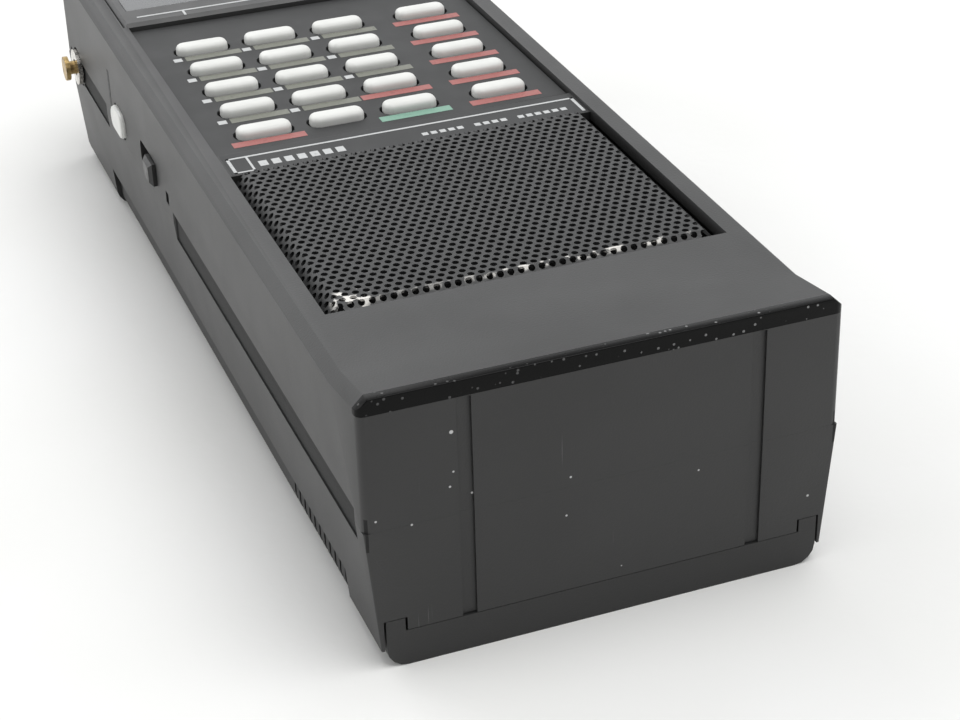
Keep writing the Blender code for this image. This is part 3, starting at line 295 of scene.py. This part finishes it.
def casePlastic():
    look = newLook("case_plastic", {"Specular IOR Level": caseFinish["shine"]})
    place = placeOn(look)
    x, y, z = add(look, "SeparateXYZ", {0: place}).outputs
    colour = mixed(look, tones(look, place, caseFinish["mottle"]),
                   caseFinish["dark"], caseFinish["light"])
    rough = tones(look, place, caseFinish["mottle"] / 3, *caseFinish["rough"])
    fine = noise(look, place, caseFinish["grain"], 3.0)

    # the rubbed edge over the bottom end: polished high spots between coarse pits; its near-black
    # tone is painted shade for the dark room it reflects, and its bright specks are painted glints,
    # with more of them to the right
    onEnd = sums(look, "LESS_THAN", y, lipWearAndPaintedLight["endFace"])
    onLip = sums(look, "MULTIPLY", onEnd, sums(look, "GREATER_THAN", z, lipWearAndPaintedLight["from"]))
    coarse = noise(look, place, lipWearAndPaintedLight["grain"])
    rough = mixedValue(look, onLip, rough, lipWearAndPaintedLight["rough"])
    height = mixedValue(look, onLip, fine, sums(look, "MULTIPLY", coarse, lipWearAndPaintedLight["relief"]))
    # painted highlights: bright glint specks on the lip, with more of them towards the right
    paintedGlintRamp = spread(look, x, lipWearAndPaintedLight["fewFrom"], lipWearAndPaintedLight["manyFrom"], lipWearAndPaintedLight["few"], 1.0)
    paintedGlints = sums(look, "MULTIPLY", specks(look, place, lipWearAndPaintedLight["paintedGlints"]), onLip, paintedGlintRamp)
    # painted shade: the lip's near-black tone stands in for the dark room it reflects
    colour = mixed(look, onLip, colour, lipWearAndPaintedLight["tone"])
    colour = mixed(look, paintedGlints, colour, lipWearAndPaintedLight["paintedGlint"])
    shine = mixedValue(look, onLip, caseFinish["shine"], lipWearAndPaintedLight["shine"])
    shader = look.node_tree.nodes["Principled BSDF"]
    look.node_tree.links.new(shine, shader.inputs["Specular IOR Level"])

    # painted shade: the floors of the side grooves are painted near-black and made rougher,
    # standing in for the shade in the recess
    inward = add(look, "Math", {0: x}, operation="ABSOLUTE").outputs[0]
    pastFloor = paintedGrooveShade["floor"] - paintedGrooveShade["deep"]
    grooveShadeMask = sums(look, "MULTIPLY", sums(look, "LESS_THAN", inward, paintedGrooveShade["floor"]),
                    sums(look, "GREATER_THAN", inward, pastFloor),
                    sums(look, "GREATER_THAN", z, paintedGrooveShade["low"]),
                    sums(look, "LESS_THAN", z, paintedGrooveShade["high"]))
    colour = mixed(look, grooveShadeMask, colour, paintedGrooveShade["tone"])
    rough = mixedValue(look, grooveShadeMask, rough, paintedGrooveShade["rough"])

    # dust and fine scratches on the bottom end
    dots = specks(look, place, dustFinish["dots"])
    motes = specks(look, place, dustFinish["motes"])
    rubbed = noise(look, stretched(look, place, dustFinish["streaks"]), 1.0, 1.0)
    streak = spread(look, rubbed, dustFinish["streakFrom"], dustFinish["streakFull"])
    patch = spread(look, noise(look, place, dustFinish["patch"], 1.0),
                   dustFinish["patchFrom"], dustFinish["patchFull"])
    marks = sums(look, "ADD", dots, motes,
                 sums(look, "MULTIPLY", streak, patch, dustFinish["streakShare"]))
    marks = sums(look, "MULTIPLY", marks, sums(look, "SUBTRACT", onEnd, onLip))
    colour = mixed(look, marks, colour, dustFinish["tone"])
    wire(look, colour, rough, height, caseFinish["depth"])
    return look


panelFinish = {"dark": grey(0.030, -0.02), "light": grey(0.034, -0.02), "shine": 0.4,
               "rough": (0.52, 0.58), "grain": 0.22 * mm, "mottle": 20 * mm, "depth": 0.01 * mm}
bezelFinish = {"dark": grey(0.036), "light": grey(0.042), "shine": 0.5, "rough": (0.36, 0.44),
               "grain": 0.22 * mm, "mottle": 20 * mm, "depth": 0.01 * mm}
keyFinish = {"dark": (0.66, 0.665, 0.64, 1), "light": (0.71, 0.715, 0.69, 1), "shine": 0.5,
             "rough": (0.38, 0.5), "grain": 0.25 * mm, "mottle": 6 * mm, "depth": 0.008 * mm}
blackFinish = {"dark": grey(0.012), "light": grey(0.018), "shine": 0.5, "rough": (0.3, 0.42),
               "grain": 0.25 * mm, "mottle": 5 * mm, "depth": 0.012 * mm}
rubberFinish = {"dark": grey(0.24), "light": grey(0.3), "shine": 0.3, "rough": (0.7, 0.85),
                "grain": 0.3 * mm, "mottle": 8 * mm, "depth": 0.02 * mm}
ferriteFinish = {"dark": grey(0.02), "light": grey(0.05), "shine": 0.4, "rough": (0.5, 0.7),
                 "grain": 0.5 * mm, "mottle": 3 * mm, "depth": 0.05 * mm}
paperFinish = {"dark": grey(0.015), "light": grey(0.03), "shine": 0.2, "rough": (0.85, 0.95),
               "grain": 0.4 * mm, "mottle": 4 * mm, "depth": 0.06 * mm}
feltFinish = {"dark": grey(0.004), "light": grey(0.010), "shine": 0.1, "rough": (0.9, 1.0),
              "grain": 0.15 * mm, "mottle": 2 * mm, "depth": 0.08 * mm}


# metals and the rest

def plated(name, finish):
    # bright plate with fine drawn lines along one way and a little tarnish
    look = newLook(name, {"Metallic": 1.0})
    place = placeOn(look)
    dull = spread(look, noise(look, place, finish["tarnish"], 3.0), 0.4, 0.75)
    colour = mixed(look, dull, finish["bright"], finish["dull"])
    lines = noise(look, stretched(look, place, finish["lines"]), 1.0, 2.0)
    rough = spread(look, lines, 0.3, 0.7, *finish["rough"])
    wire(look, colour, rough, lines, finish["depth"])
    return look


nickelFinish = {"bright": (0.70, 0.68, 0.64, 1), "dull": (0.5, 0.48, 0.44, 1),
                "tarnish": 3 * mm, "lines": (900, 9000, 900), "rough": (0.18, 0.32),
                "depth": 0.004 * mm}
zincFinish = {"bright": (0.62, 0.63, 0.65, 1), "dull": (0.44, 0.45, 0.46, 1), "tarnish": 4 * mm,
              "lines": (2500, 2500, 2500), "rough": (0.25, 0.42), "depth": 0.006 * mm}
tinFinish = {"bright": (0.66, 0.66, 0.64, 1), "dull": (0.5, 0.5, 0.48, 1), "tarnish": 8 * mm,
             "lines": (3000, 200, 3000), "rough": (0.28, 0.4), "depth": 0.004 * mm}
brassFinish = {"bright": (0.50, 0.36, 0.16, 1), "dull": (0.20, 0.13, 0.06, 1),
               "tarnish": 1.2 * mm, "lines": (4000, 4000, 4000), "rough": (0.28, 0.5),
               "depth": 0.006 * mm}

boardFinish = {"mask": (0.012, 0.09, 0.03, 1), "track": (0.02, 0.15, 0.05, 1), "pitch": 1.8 * mm,
               "trackWidth": 0.08, "cellWidth": 2.3, "cellHeight": 0.8, "depth": 0.03 * mm}


def boardLaminate():
    # green mask over slightly raised tracks
    look = newLook("board_laminate", {"Roughness": 0.3, "Specular IOR Level": 0.5})
    cells = add(look, "TexBrick", {
        "Vector": placeOn(look), "Scale": 1 / boardFinish["pitch"],
        "Mortar Size": boardFinish["trackWidth"], "Color1": boardFinish["mask"],
        "Color2": boardFinish["mask"], "Mortar": boardFinish["track"],
        "Brick Width": boardFinish["cellWidth"], "Row Height": boardFinish["cellHeight"]})
    wire(look, cells.outputs["Color"], None, cells.outputs["Fac"], boardFinish["depth"])
    return look


sleeveFinish = {"dark": (0.03, 0.035, 0.12, 1), "light": grey(0.09), "mottle": 5 * mm,
                "grain": 0.5 * mm, "depth": 0.004 * mm}


def cellSleeve():
    # a plain glossy sleeve with soft changes of tone
    look = newLook("cell_sleeve", {"Roughness": 0.28, "Metallic": 0.3, "Coat Weight": 0.3})
    place = placeOn(look)
    tone = tones(look, place, sleeveFinish["mottle"])
    colour = mixed(look, tone, sleeveFinish["dark"], sleeveFinish["light"])
    wire(look, colour, None, noise(look, place, sleeveFinish["grain"]), sleeveFinish["depth"])
    return look


grillePaint = {
    "paint": grey(0.022, -0.02), "bare": (0.72, 0.70, 0.66, 1), "rough": (0.34, 0.5),
    "mottle": 1.0 * mm, "grain": 0.2 * mm, "depth": 0.01 * mm, "chipSize": 1.6 * mm,
    "edgeChip": 0.55 * mm, "edgeBare": (0.50, 0.58), "edgeLeft": -12 * mm, "edgeRight": 2 * mm,
    "edgeFew": 0.3, "corner": (2.0 * mm, 0.8 * mm), "cornerReach": 3.2 * mm,
    "cornerFull": 2.0 * mm, "cornerBare": (0.46, 0.54),
}


def grilleSheetPaint(foldY, foldLeft, top):
    # black paint over steel, rubbed bright along the folded bottom edge and at its left corner
    look = newLook("grille_sheet", {"Specular IOR Level": 0.5})
    place = placeOn(look)
    x, y, z = add(look, "SeparateXYZ", {0: place}).outputs
    chips = noise(look, place, grillePaint["chipSize"], 3.0)
    pastFold = add(look, "Math", {0: y, 1: foldY}, operation="SUBTRACT").outputs[0]
    fromFold = add(look, "Math", {0: pastFold}, operation="ABSOLUTE").outputs[0]
    rubbed = sums(look, "MULTIPLY",
                  spread(look, fromFold, grillePaint["edgeChip"], grillePaint["edgeChip"] * 0.5),
                  spread(look, chips, *grillePaint["edgeBare"]),
                  spread(look, x, grillePaint["edgeLeft"], grillePaint["edgeRight"],
                         grillePaint["edgeFew"], 1.0))
    inX, inY = grillePaint["corner"]
    corner = add(look, "VectorMath", {0: place, 1: (foldLeft + inX, foldY + inY, top)},
                 operation="DISTANCE").outputs["Value"]
    atCorner = sums(look, "MULTIPLY",
                    spread(look, corner, grillePaint["cornerReach"], grillePaint["cornerFull"]),
                    spread(look, chips, *grillePaint["cornerBare"]))
    rubbed = sums(look, "ADD", rubbed, atCorner)
    colour = mixed(look, rubbed, grillePaint["paint"], grillePaint["bare"])
    rough = tones(look, place, grillePaint["mottle"], *grillePaint["rough"])
    wire(look, colour, rough, noise(look, place, grillePaint["grain"]), grillePaint["depth"])
    return look


windowFinish = {"tint": (0.22, 0.23, 0.24, 1), "haze": (0.06, 0.16), "hazeSize": 6 * mm,
                "scratches": (400, 3000, 400), "depth": 0.001 * mm}


def smokedWindow():
    look = newLook("window_plastic", {
        "Base Color": windowFinish["tint"], "Transmission Weight": 0.85, "IOR": 1.49,
        "Coat Weight": 0.4, "Coat Roughness": 0.04})
    place = placeOn(look)
    cloudy = noise(look, place, windowFinish["hazeSize"], 3.0)
    haze = spread(look, cloudy, 0.35, 0.75, *windowFinish["haze"])
    scratches = noise(look, stretched(look, place, windowFinish["scratches"]), 1.0)
    wire(look, None, haze, scratches, windowFinish["depth"])
    return look


displayFinish = {"dark": (0.19, 0.21, 0.165, 1), "light": (0.22, 0.24, 0.19, 1),
                 "mottle": 9 * mm, "rough": (0.3, 0.42), "roughSize": 1.5 * mm,
                 "grain": 0.3 * mm, "depth": 0.003 * mm}


def displayGlass():
    look = newLook("display_glass", {"Coat Weight": 0.5, "Coat Roughness": 0.1})
    place = placeOn(look)
    tone = tones(look, place, displayFinish["mottle"])
    colour = mixed(look, tone, displayFinish["dark"], displayFinish["light"])
    rough = tones(look, place, displayFinish["roughSize"], *displayFinish["rough"])
    wire(look, colour, rough, noise(look, place, displayFinish["grain"]), displayFinish["depth"])
    return look


coverFinish = {
    "dark": grey(0.011), "light": grey(0.014), "shine": 0.45, "rough": 0.54,
    "endFrom": -86.3 * mm, "endTone": grey(0.023), "endRough": 0.47,
    "grain": 0.30 * mm, "mottle": 25 * mm, "depth": 0.03 * mm,
}


def coverPlastic():
    # darker than the case but for its end wall, polished by wear like the rest of that end
    look = newLook("cover_plastic", {"Specular IOR Level": coverFinish["shine"]})
    place = placeOn(look)
    y = add(look, "SeparateXYZ", {0: place}).outputs[1]
    tone = tones(look, place, coverFinish["mottle"])
    colour = mixed(look, tone, coverFinish["dark"], coverFinish["light"])
    onEnd = sums(look, "LESS_THAN", y, coverFinish["endFrom"])
    colour = mixed(look, onEnd, colour, coverFinish["endTone"])
    rough = mixedValue(look, onEnd, coverFinish["rough"], coverFinish["endRough"])
    wire(look, colour, rough, noise(look, place, coverFinish["grain"], 3.0), coverFinish["depth"])
    return look


looks = {
    "case_plastic": casePlastic(),
    "cover_plastic": coverPlastic(),
    "panel_plastic": mouldedPlastic("panel_plastic", panelFinish),
    "bezel_plastic": mouldedPlastic("bezel_plastic", bezelFinish),
    "key_plastic": mouldedPlastic("key_plastic", keyFinish),
    "black_plastic": mouldedPlastic("black_plastic", blackFinish),
    "mat_rubber": mouldedPlastic("mat_rubber", rubberFinish),
    "ferrite": mouldedPlastic("ferrite", ferriteFinish),
    "cone_paper": mouldedPlastic("cone_paper", paperFinish),
    "felt": mouldedPlastic("felt", feltFinish),
    "nickel": plated("nickel", nickelFinish),
    "plated_steel": plated("plated_steel", zincFinish),
    "tin_plate": plated("tin_plate", tinFinish),
    "brass": plated("brass", brassFinish),
    "board_laminate": boardLaminate(),
    "cell_sleeve": cellSleeve(),
    "window_plastic": smokedWindow(),
    "display_glass": displayGlass(),
}
slotOf = {row["node"]: row["material_slot"] for row in frame["record"]["subparts"]}
print("materials made")


# the two shells and the cover, with their joints closed up and the front shell's edges rounded

shells = {"parting": 21.5 * mm, "gap": 0.15 * mm, "leave": 0.008 * mm, "nearParting": 0.02 * mm,
          "rounding": 0.22 * mm, "sharp": 25, "frontFrom": 38.2 * mm}


def closeJoint(piece, height, move):
    # both shells reach almost to the parting plane, as moulded halves do
    raiseVerts(piece, lambda vert: abs(vert.co.z - height) < shells["nearParting"], move)


frontShell = copyOfNode("front_case", "front_shell")
closeJoint(frontShell, shells["parting"] + shells["gap"], shells["leave"] - shells["gap"])
bevelAt(frontShell,
        lambda edge: isSharp(edge, shells["sharp"]) and lowestOf(edge) > shells["frontFrom"],
        shells["rounding"], 2)
smooth(frontShell)
fit(frontShell, looks["case_plastic"], nodes=["front_case"])

coverEnd = {"to": -84.0 * mm, "from": 5.0 * mm, "up": 0.22 * mm}

cover = copyOfNode("battery_cover", "cover")
raiseVerts(cover, lambda vert: vert.co.y < coverEnd["to"] and vert.co.z > coverEnd["from"],
           coverEnd["up"])
smooth(cover)
fit(cover, looks["cover_plastic"], "battery_cover", ["battery_cover"])

rearShell = copyOfNode("rear_case", "rear_shell")
closeJoint(rearShell, shells["parting"] - shells["gap"], shells["gap"] - shells["leave"])
smooth(rearShell)
fit(rearShell, looks["case_plastic"], nodes=["rear_case"])
print("shells made")


# the perforated grille: a flat sheet of holes, cut into a top and three flanks that are turned down

grilleSheet = {
    "pitch": 1.5 * mm, "hole": 0.5 * mm, "holeSides": 12, "columns": 42, "rowPairs": 20,
    "corner": (-30.75 * mm, -62.6 * mm), "merge": 0.01 * mm, "sheet": 0.35 * mm,
    "top": 38.95 * mm, "foldX": 26.4 * mm, "foldY": -59.6 * mm, "far": -15.4 * mm,
    "flank": 2.95 * mm, "turn": 45.0,
}


def perforatedSheet(pitch, hole):
    # one hexagonal cell with a round hole, repeated in staggered rows
    bpy.ops.object.select_all(action="DESELECT")
    bpy.ops.mesh.primitive_circle_add(vertices=grilleSheet["holeSides"], radius=hole,
                                      fill_type="NOTHING", location=(0, 0, 0))
    sheet = bpy.context.object
    bpy.ops.object.mode_set(mode="EDIT")
    bpy.ops.mesh.select_all(action="SELECT")
    bpy.ops.mesh.extrude_edges_move()
    bpy.ops.transform.resize(value=(pitch / 2 / hole, pitch / 2 / hole, 1))
    sixth = math.radians(60)
    pick(sheet, "verts", lambda vert: vert.co.length > hole * 1.1
         and abs((math.atan2(vert.co.y, vert.co.x) % sixth) - sixth / 2) < 0.1)
    bpy.ops.transform.resize(value=(1 / math.cos(sixth / 2), 1 / math.cos(sixth / 2), 1))
    bpy.ops.object.mode_set(mode="OBJECT")
    rows = pitch * math.cos(sixth / 2)
    steps = (((pitch, 0, 0), grilleSheet["columns"]), ((pitch / 2, rows, 0), 2),
             ((0, 2 * rows, 0), grilleSheet["rowPairs"]))
    for step, count in steps:
        array = sheet.modifiers.new("rows", "ARRAY")
        array.count = count
        array.use_relative_offset = False
        array.use_constant_offset = True
        array.constant_offset_displace = step
        bpy.ops.object.modifier_apply(modifier="rows")
    weld(sheet, grilleSheet["merge"])
    return sheet


def sheetPart(sheet, cuts, turn=0.0, axis="Y", centre=(0, 0, 0)):
    # a copy of the sheet, trimmed to the inner side of each cut and turned down about its fold
    only(sheet)
    bpy.ops.object.duplicate()
    part = bpy.context.object
    bpy.ops.object.mode_set(mode="EDIT")
    for place, outward in cuts:
        bpy.ops.mesh.select_all(action="SELECT")
        bpy.ops.mesh.bisect(plane_co=place, plane_no=outward, clear_outer=True)
    if turn:
        bpy.ops.mesh.select_all(action="SELECT")
        bpy.ops.transform.rotate(value=math.radians(turn), orient_axis=axis,
                                 center_override=centre)
    bpy.ops.object.mode_set(mode="OBJECT")
    return part


sheet = perforatedSheet(grilleSheet["pitch"], grilleSheet["hole"])
foldX, foldY, far, top, flank, turn = (
    grilleSheet[key] for key in ("foldX", "foldY", "far", "top", "flank", "turn"))
sheet.location = (*grilleSheet["corner"], top)
bpy.ops.object.transform_apply(location=True, rotation=True, scale=True)
miter = math.cos(math.radians(turn))
sheetParts = [sheetPart(sheet, [((-foldX, 0, 0), (-1, 0, 0)), ((foldX, 0, 0), (1, 0, 0)),
                                ((0, foldY, 0), (0, -1, 0)), ((0, far, 0), (0, 1, 0))])]
for side in (-1, 1):
    sheetParts.append(sheetPart(
        sheet, [((side * foldX, 0, 0), (-side, 0, 0)),
                ((side * (foldX + flank), 0, 0), (side, 0, 0)),
                ((0, far, 0), (0, 1, 0)), ((side * foldX, foldY, 0), (-side * miter, -1, 0))],
        -side * turn, "Y", (side * foldX, 0, top)))
sheetParts.append(sheetPart(
    sheet, [((0, foldY, 0), (0, 1, 0)), ((0, foldY - flank, 0), (0, -1, 0)),
            ((-foldX, foldY, 0), (-1, -miter, 0)), ((foldX, foldY, 0), (1, -miter, 0))],
    -turn, "X", (0, foldY, top)))
grille = joined(sheetParts, "perforated_grille")
bpy.data.objects.remove(sheet)
weld(grille, grilleSheet["merge"])
thicken = grille.modifiers.new("sheet", "SOLIDIFY")
thicken.thickness = grilleSheet["sheet"]
thicken.offset = -1
bpy.ops.object.modifier_apply(modifier="sheet")
looks["grille_sheet"] = grilleSheetPaint(foldY, -foldX, top)
fit(grille, looks["grille_sheet"], nodes=["speaker_grille"])
print("grille made", len(grille.data.polygons))


# the keys, each on its own body

keyShape = {"length": 8.6 * mm, "width": 3.3 * mm, "down": 1.6 * mm, "corner": 1.35 * mm,
            "cornerSteps": 5, "edge": 0.8 * mm, "edgeSteps": 4, "smooth": 40}


def madeKey(name, centre, top):
    half = Vector((keyShape["length"] / 2, keyShape["width"] / 2, 0))
    low = Vector((centre.x, centre.y, top - keyShape["down"])) - half
    high = Vector((centre.x, centre.y, top)) + half
    key = startBox(name, low, high)
    # the upright corners first, then the rim of the top
    bevelAt(key, lambda edge: abs(edge.verts[0].co.z - edge.verts[1].co.z) > 1 * mm,
            keyShape["corner"], keyShape["cornerSteps"])
    bevelAt(key, lambda edge: isSharp(edge, 60) and lowestOf(edge) > top - 0.1 * mm,
            keyShape["edge"], keyShape["edgeSteps"])
    smooth(key, keyShape["smooth"])
    return key


for row in range(1, 6):
    for column in range(1, 5):
        node = f"key_row{row}_col{column}"
        low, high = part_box(node)
        key = madeKey(f"cap_{node}", (low + high) / 2, high.z)
        fit(key, looks["key_plastic"], node, [node])
print("keys made")


# printed marks: thin inks on the panel, the label strip, the display and the knobs, and a strip of
# painted shadow on the left side

inks = {
    "red_ink": (0.36, 0.13, 0.12, 1), "green_ink": (0.20, 0.36, 0.28, 1),
    "olive_ink": (0.19, 0.195, 0.165, 1), "white_ink": (0.50, 0.51, 0.51, 1),
    "seam_shadow": (0.010, 0.010, 0.010, 1), "digit_ink": (0.03, 0.035, 0.03, 1),
}
inkFinish = {"wear": 0.8 * mm, "mostWorn": 0.5, "glossSize": 0.5 * mm, "rough": (0.45, 0.6),
             "thick": 0.03 * mm, "sunk": 0.01 * mm}


def inkLook(name, colour):
    look = newLook(name, {"Specular IOR Level": 0.4})
    place = placeOn(look)
    wear = noise(look, place, inkFinish["wear"], 3.0)
    worn = spread(look, wear, 0.55, 0.8, 0.0, inkFinish["mostWorn"])
    body = mixed(look, worn, colour, tuple(0.5 * c for c in colour[:3]) + (1,))
    wire(look, body, tones(look, place, inkFinish["glossSize"], *inkFinish["rough"]))
    return look


for name, colour in inks.items():
    looks[name] = inkLook(name, colour)


def printed(name, rectangles, height, inkName):
    # several flat rectangles (lowX, lowY, highX, highY) in mm as one printed piece
    made = []
    for lowX, lowY, highX, highY in rectangles:
        made.append(startBox(name, (lowX * mm, lowY * mm, height - inkFinish["sunk"]),
                             (highX * mm, highY * mm, height + inkFinish["thick"])))
    return fit(joined(made, name), looks[inkName])


# a bar under each key but one, and on the plain ones a small square before a shorter bar, in mm
keyBar = {"height": 38.0 * mm, "low": 4.1, "high": 2.25, "half": 5.8, "short": 3.6,
          "squareFrom": 5.6, "squareTo": 4.2, "squareLow": 0.2, "squareHigh": 0.3,
          "red": ((5, 1), (4, 3)), "redColumn": 4, "green": (5, 3), "none": (5, 2)}

bars = {"red": [], "green": [], "olive": [], "white": []}
for row in range(1, 6):
    for column in range(1, 5):
        low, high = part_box(f"key_row{row}_col{column}")
        x, y = (low.x + high.x) / 2 / mm, (low.y + high.y) / 2 / mm
        lowY, highY = y - keyBar["low"], y - keyBar["high"]
        whole = (x - keyBar["half"], lowY, x + keyBar["half"], highY)
        if column == keyBar["redColumn"] or (row, column) in keyBar["red"]:
            bars["red"].append(whole)
        elif (row, column) == keyBar["green"]:
            bars["green"].append(whole)
        elif (row, column) != keyBar["none"]:
            bars["olive"].append((x - keyBar["short"], lowY, x + keyBar["half"], highY))
            bars["white"].append((x - keyBar["squareFrom"], lowY + keyBar["squareLow"],
                                  x - keyBar["squareTo"], highY - keyBar["squareHigh"]))
for name, colour in (("bars_red", "red"), ("bar_green", "green"), ("bars_olive", "olive"),
                     ("squares_white", "white")):
    printed(name, bars[colour], keyBar["height"], f"{colour}_ink")

# the label strip: a plain plate with a line round it, and two rows of plain blocks, in mm
label = {
    "top": 38.4 * mm, "plateLow": (-28.2, -14.7), "plateHigh": (28.2, -7.2),
    "plateSunk": 0.05 * mm, "plateThick": 0.02 * mm,
    "lines": [(-27.7, -9.3, 28.3, -8.85), (-27.7, -14.3, -27.2, -8.85),
              (27.8, -14.3, 28.3, -8.85), (-27.7, -14.3, -24.4, -13.95),
              (-24.75, -14.3, -24.4, -9.3)],
    "bigFrom": -23.4, "bigTo": -22.1, "bigStep": 2.0, "bigCount": 7, "bigY": (-13.2, -11.4),
    "smallFrom": 2.2, "smallTo": 3.15, "smallStep": 1.42, "smallCount": 17,
    "smallGaps": (5, 10), "smallY": (-12.9, -11.9),
}


def blocks(size, count, gaps=()):
    lowY, highY = label[size + "Y"]
    return [(label[size + "From"] + label[size + "Step"] * k, lowY,
             label[size + "To"] + label[size + "Step"] * k, highY)
            for k in range(count) if k not in gaps]


plateTop = label["top"] + label["plateThick"]
lowX, lowY = label["plateLow"]
highX, highY = label["plateHigh"]
labelPlate = startBox("label_plate", (lowX * mm, lowY * mm, label["top"] - label["plateSunk"]),
                      (highX * mm, highY * mm, plateTop))
fit(labelPlate, looks["panel_plastic"])
printed("label_lines", label["lines"], plateTop, "white_ink")
labelBlocks = (blocks("big", label["bigCount"])
               + blocks("small", label["smallCount"], label["smallGaps"]))
printed("label_blocks", labelBlocks, plateTop, "white_ink")

# the display: a line and a divider on the bezel, and plain bar segments behind the window, in mm
display = {
    "lines": [(-26.5, 51.6, 26.5, 52.1), (-18.7, 49.6, -18.3, 51.6)],
    "digits": 7, "firstX": -16.8, "stepX": 4.9, "lowY": 62.6,
    "segments": ((0, 0, 2.6, 0.5), (0, 3.0, 2.6, 3.5), (0, 6.0, 2.6, 6.5), (-0.5, 0.4, 0, 2.9),
                 (-0.5, 3.6, 0, 6.1), (2.6, 0.4, 3.1, 2.9), (2.6, 3.6, 3.1, 6.1)),
}

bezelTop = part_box("display_bezel")[1].z
printed("display_lines", display["lines"], bezelTop, "white_ink")
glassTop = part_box("lcd_panel")[1].z
segments = []
for digit in range(display["digits"]):
    x, y = display["firstX"] + display["stepX"] * digit, display["lowY"]
    for lowX, lowY, highX, highY in display["segments"]:
        segments.append((x + lowX, y + lowY, x + highX, y + highY))
printed("display_segments", segments, glassTop, "digit_ink")

# a thin strip of painted shadow where two mouldings meet on the left side
sideSeam = {"x": -33.0 * mm, "inside": 0.02 * mm, "outside": 0.03 * mm,
            "y": (49.2 * mm, 50.4 * mm), "z": (23.6 * mm, 31.5 * mm)}

seamLow = (sideSeam["x"] - sideSeam["outside"], sideSeam["y"][0], sideSeam["z"][0])
seamHigh = (sideSeam["x"] + sideSeam["inside"], sideSeam["y"][1], sideSeam["z"][1])
fit(startBox("seam_shadow_upper", seamLow, seamHigh), looks["seam_shadow"])

# a white line on the end of each knob
pointerLine = {"half": 0.35 * mm, "thick": 0.02 * mm, "from": 1.6 * mm, "to": 5.2 * mm}

for name in ("volume_knob", "squelch_knob"):
    low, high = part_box(name)
    middle = (low + high) / 2
    pointer = startBox(
        f"{name}_pointer",
        (middle.x - pointerLine["half"], high.y - pointerLine["thick"],
         middle.z + pointerLine["from"]),
        (middle.x + pointerLine["half"], high.y + pointerLine["thick"],
         middle.z + pointerLine["to"]))
    fit(pointer, looks["white_ink"], name)
print("marks made")


# nodes that keep their own shape get their finish

for name, node in frame["nodes"].items():
    node.data.materials.clear()
    node.data.materials.append(looks[slotOf[name]])


# floor, light and camera

floorPaper = {"size": 8.0, "dark": (0.80, 0.80, 0.785, 1), "light": (0.83, 0.83, 0.82, 1),
              "mottle": 60 * mm, "grain": 3 * mm, "depth": 0.06 * mm}


def paperFloor():
    look = newLook("paper_floor", {"Roughness": 0.85, "Specular IOR Level": 0.2})
    place = placeOn(look)
    tone = tones(look, place, floorPaper["mottle"])
    colour = mixed(look, tone, floorPaper["dark"], floorPaper["light"])
    wire(look, colour, None, noise(look, place, floorPaper["grain"]), floorPaper["depth"])
    return look


bpy.ops.object.select_all(action="DESELECT")
bpy.ops.mesh.primitive_plane_add(size=floorPaper["size"], location=(0, 0, cadBounds[0].z))
floor = bpy.context.object
floor.name = "floor"
floor.data.materials.append(paperFloor())


# place, target, size and power of each light
lamps = {
    "back_light": ((-0.5, 1.5, 1.3), (0, 0, 0), (1.6, 1.0), 9.0),
    "side_light": ((-1.4, 0.3, 0.9), (0, 0, 0), (1.0, 1.0), 5.0),
    "top_light": ((0.4, -0.5, 1.8), (0.1, -0.1, 0), (1.8, 1.8), 34.0),
}


def softBox(name, place, target, size, power):
    light = bpy.data.lights.new(name, "AREA")
    light.shape = "RECTANGLE"
    light.size, light.size_y = size
    light.energy = power
    lamp = bpy.data.objects.new(name, light)
    bpy.context.scene.collection.objects.link(lamp)
    lamp.location = place
    lamp.rotation_euler = (Vector(target) - Vector(place)).to_track_quat("-Z", "Y").to_euler()


for name, lamp in lamps.items():
    softBox(name, *lamp)

# a bright room behind the object and a dim one in front of it, brighter low down than high up
sky = {"alongY": {"From Min": -0.6, "From Max": 0.5, "To Min": 0.19, "To Max": 0.88},
       "upwards": {"From Min": 0.36, "From Max": 0.70, "To Min": 1.45, "To Max": 0.50},
       "colour": (0.98, 0.99, 1.0, 1)}

world = bpy.data.worlds.new("studio")
world.use_nodes = True
room = world.node_tree
wayOut = room.nodes.new("ShaderNodeTexCoord")
apart = room.nodes.new("ShaderNodeSeparateXYZ")
room.links.new(wayOut.outputs["Generated"], apart.inputs[0])


def skyRamp(value, kind, limits):
    ramp = room.nodes.new("ShaderNodeMapRange")
    ramp.interpolation_type = kind
    for socket, limit in limits.items():
        ramp.inputs[socket].default_value = limit
    room.links.new(value, ramp.inputs["Value"])
    return ramp.outputs["Result"]


strength = room.nodes.new("ShaderNodeMath")
strength.operation = "MULTIPLY"
room.links.new(skyRamp(apart.outputs["Y"], "SMOOTHSTEP", sky["alongY"]), strength.inputs[0])
room.links.new(skyRamp(apart.outputs["Z"], "LINEAR", sky["upwards"]), strength.inputs[1])
background = room.nodes["Background"]
room.links.new(strength.outputs[0], background.inputs["Strength"])
background.inputs["Color"].default_value = sky["colour"]
bpy.context.scene.world = world
bpy.context.scene.view_settings.view_transform = "Standard"

cameraSettings = {"place": (-97.4, -306.5, 177.1), "lookAt": (-14.7, -80.8, 39.0),
                  "roll": -1.8, "lens": 83.8, "sensor": 36, "clip": 0.01}
camera = bpy.data.objects.new("camera", bpy.data.cameras.new("camera"))
bpy.context.scene.collection.objects.link(camera)
camera.data.lens = cameraSettings["lens"]
camera.data.sensor_width = cameraSettings["sensor"]
camera.data.clip_start = cameraSettings["clip"]
camera.location = Vector(cameraSettings["place"]) * mm
aim = (Vector(cameraSettings["lookAt"]) * mm - camera.location).to_track_quat("-Z", "Y").to_matrix()
roll = Matrix.Rotation(math.radians(cameraSettings["roll"]), 3, "Z")
camera.rotation_euler = (aim @ roll).to_euler()
bpy.context.scene.camera = camera
print("studio made")
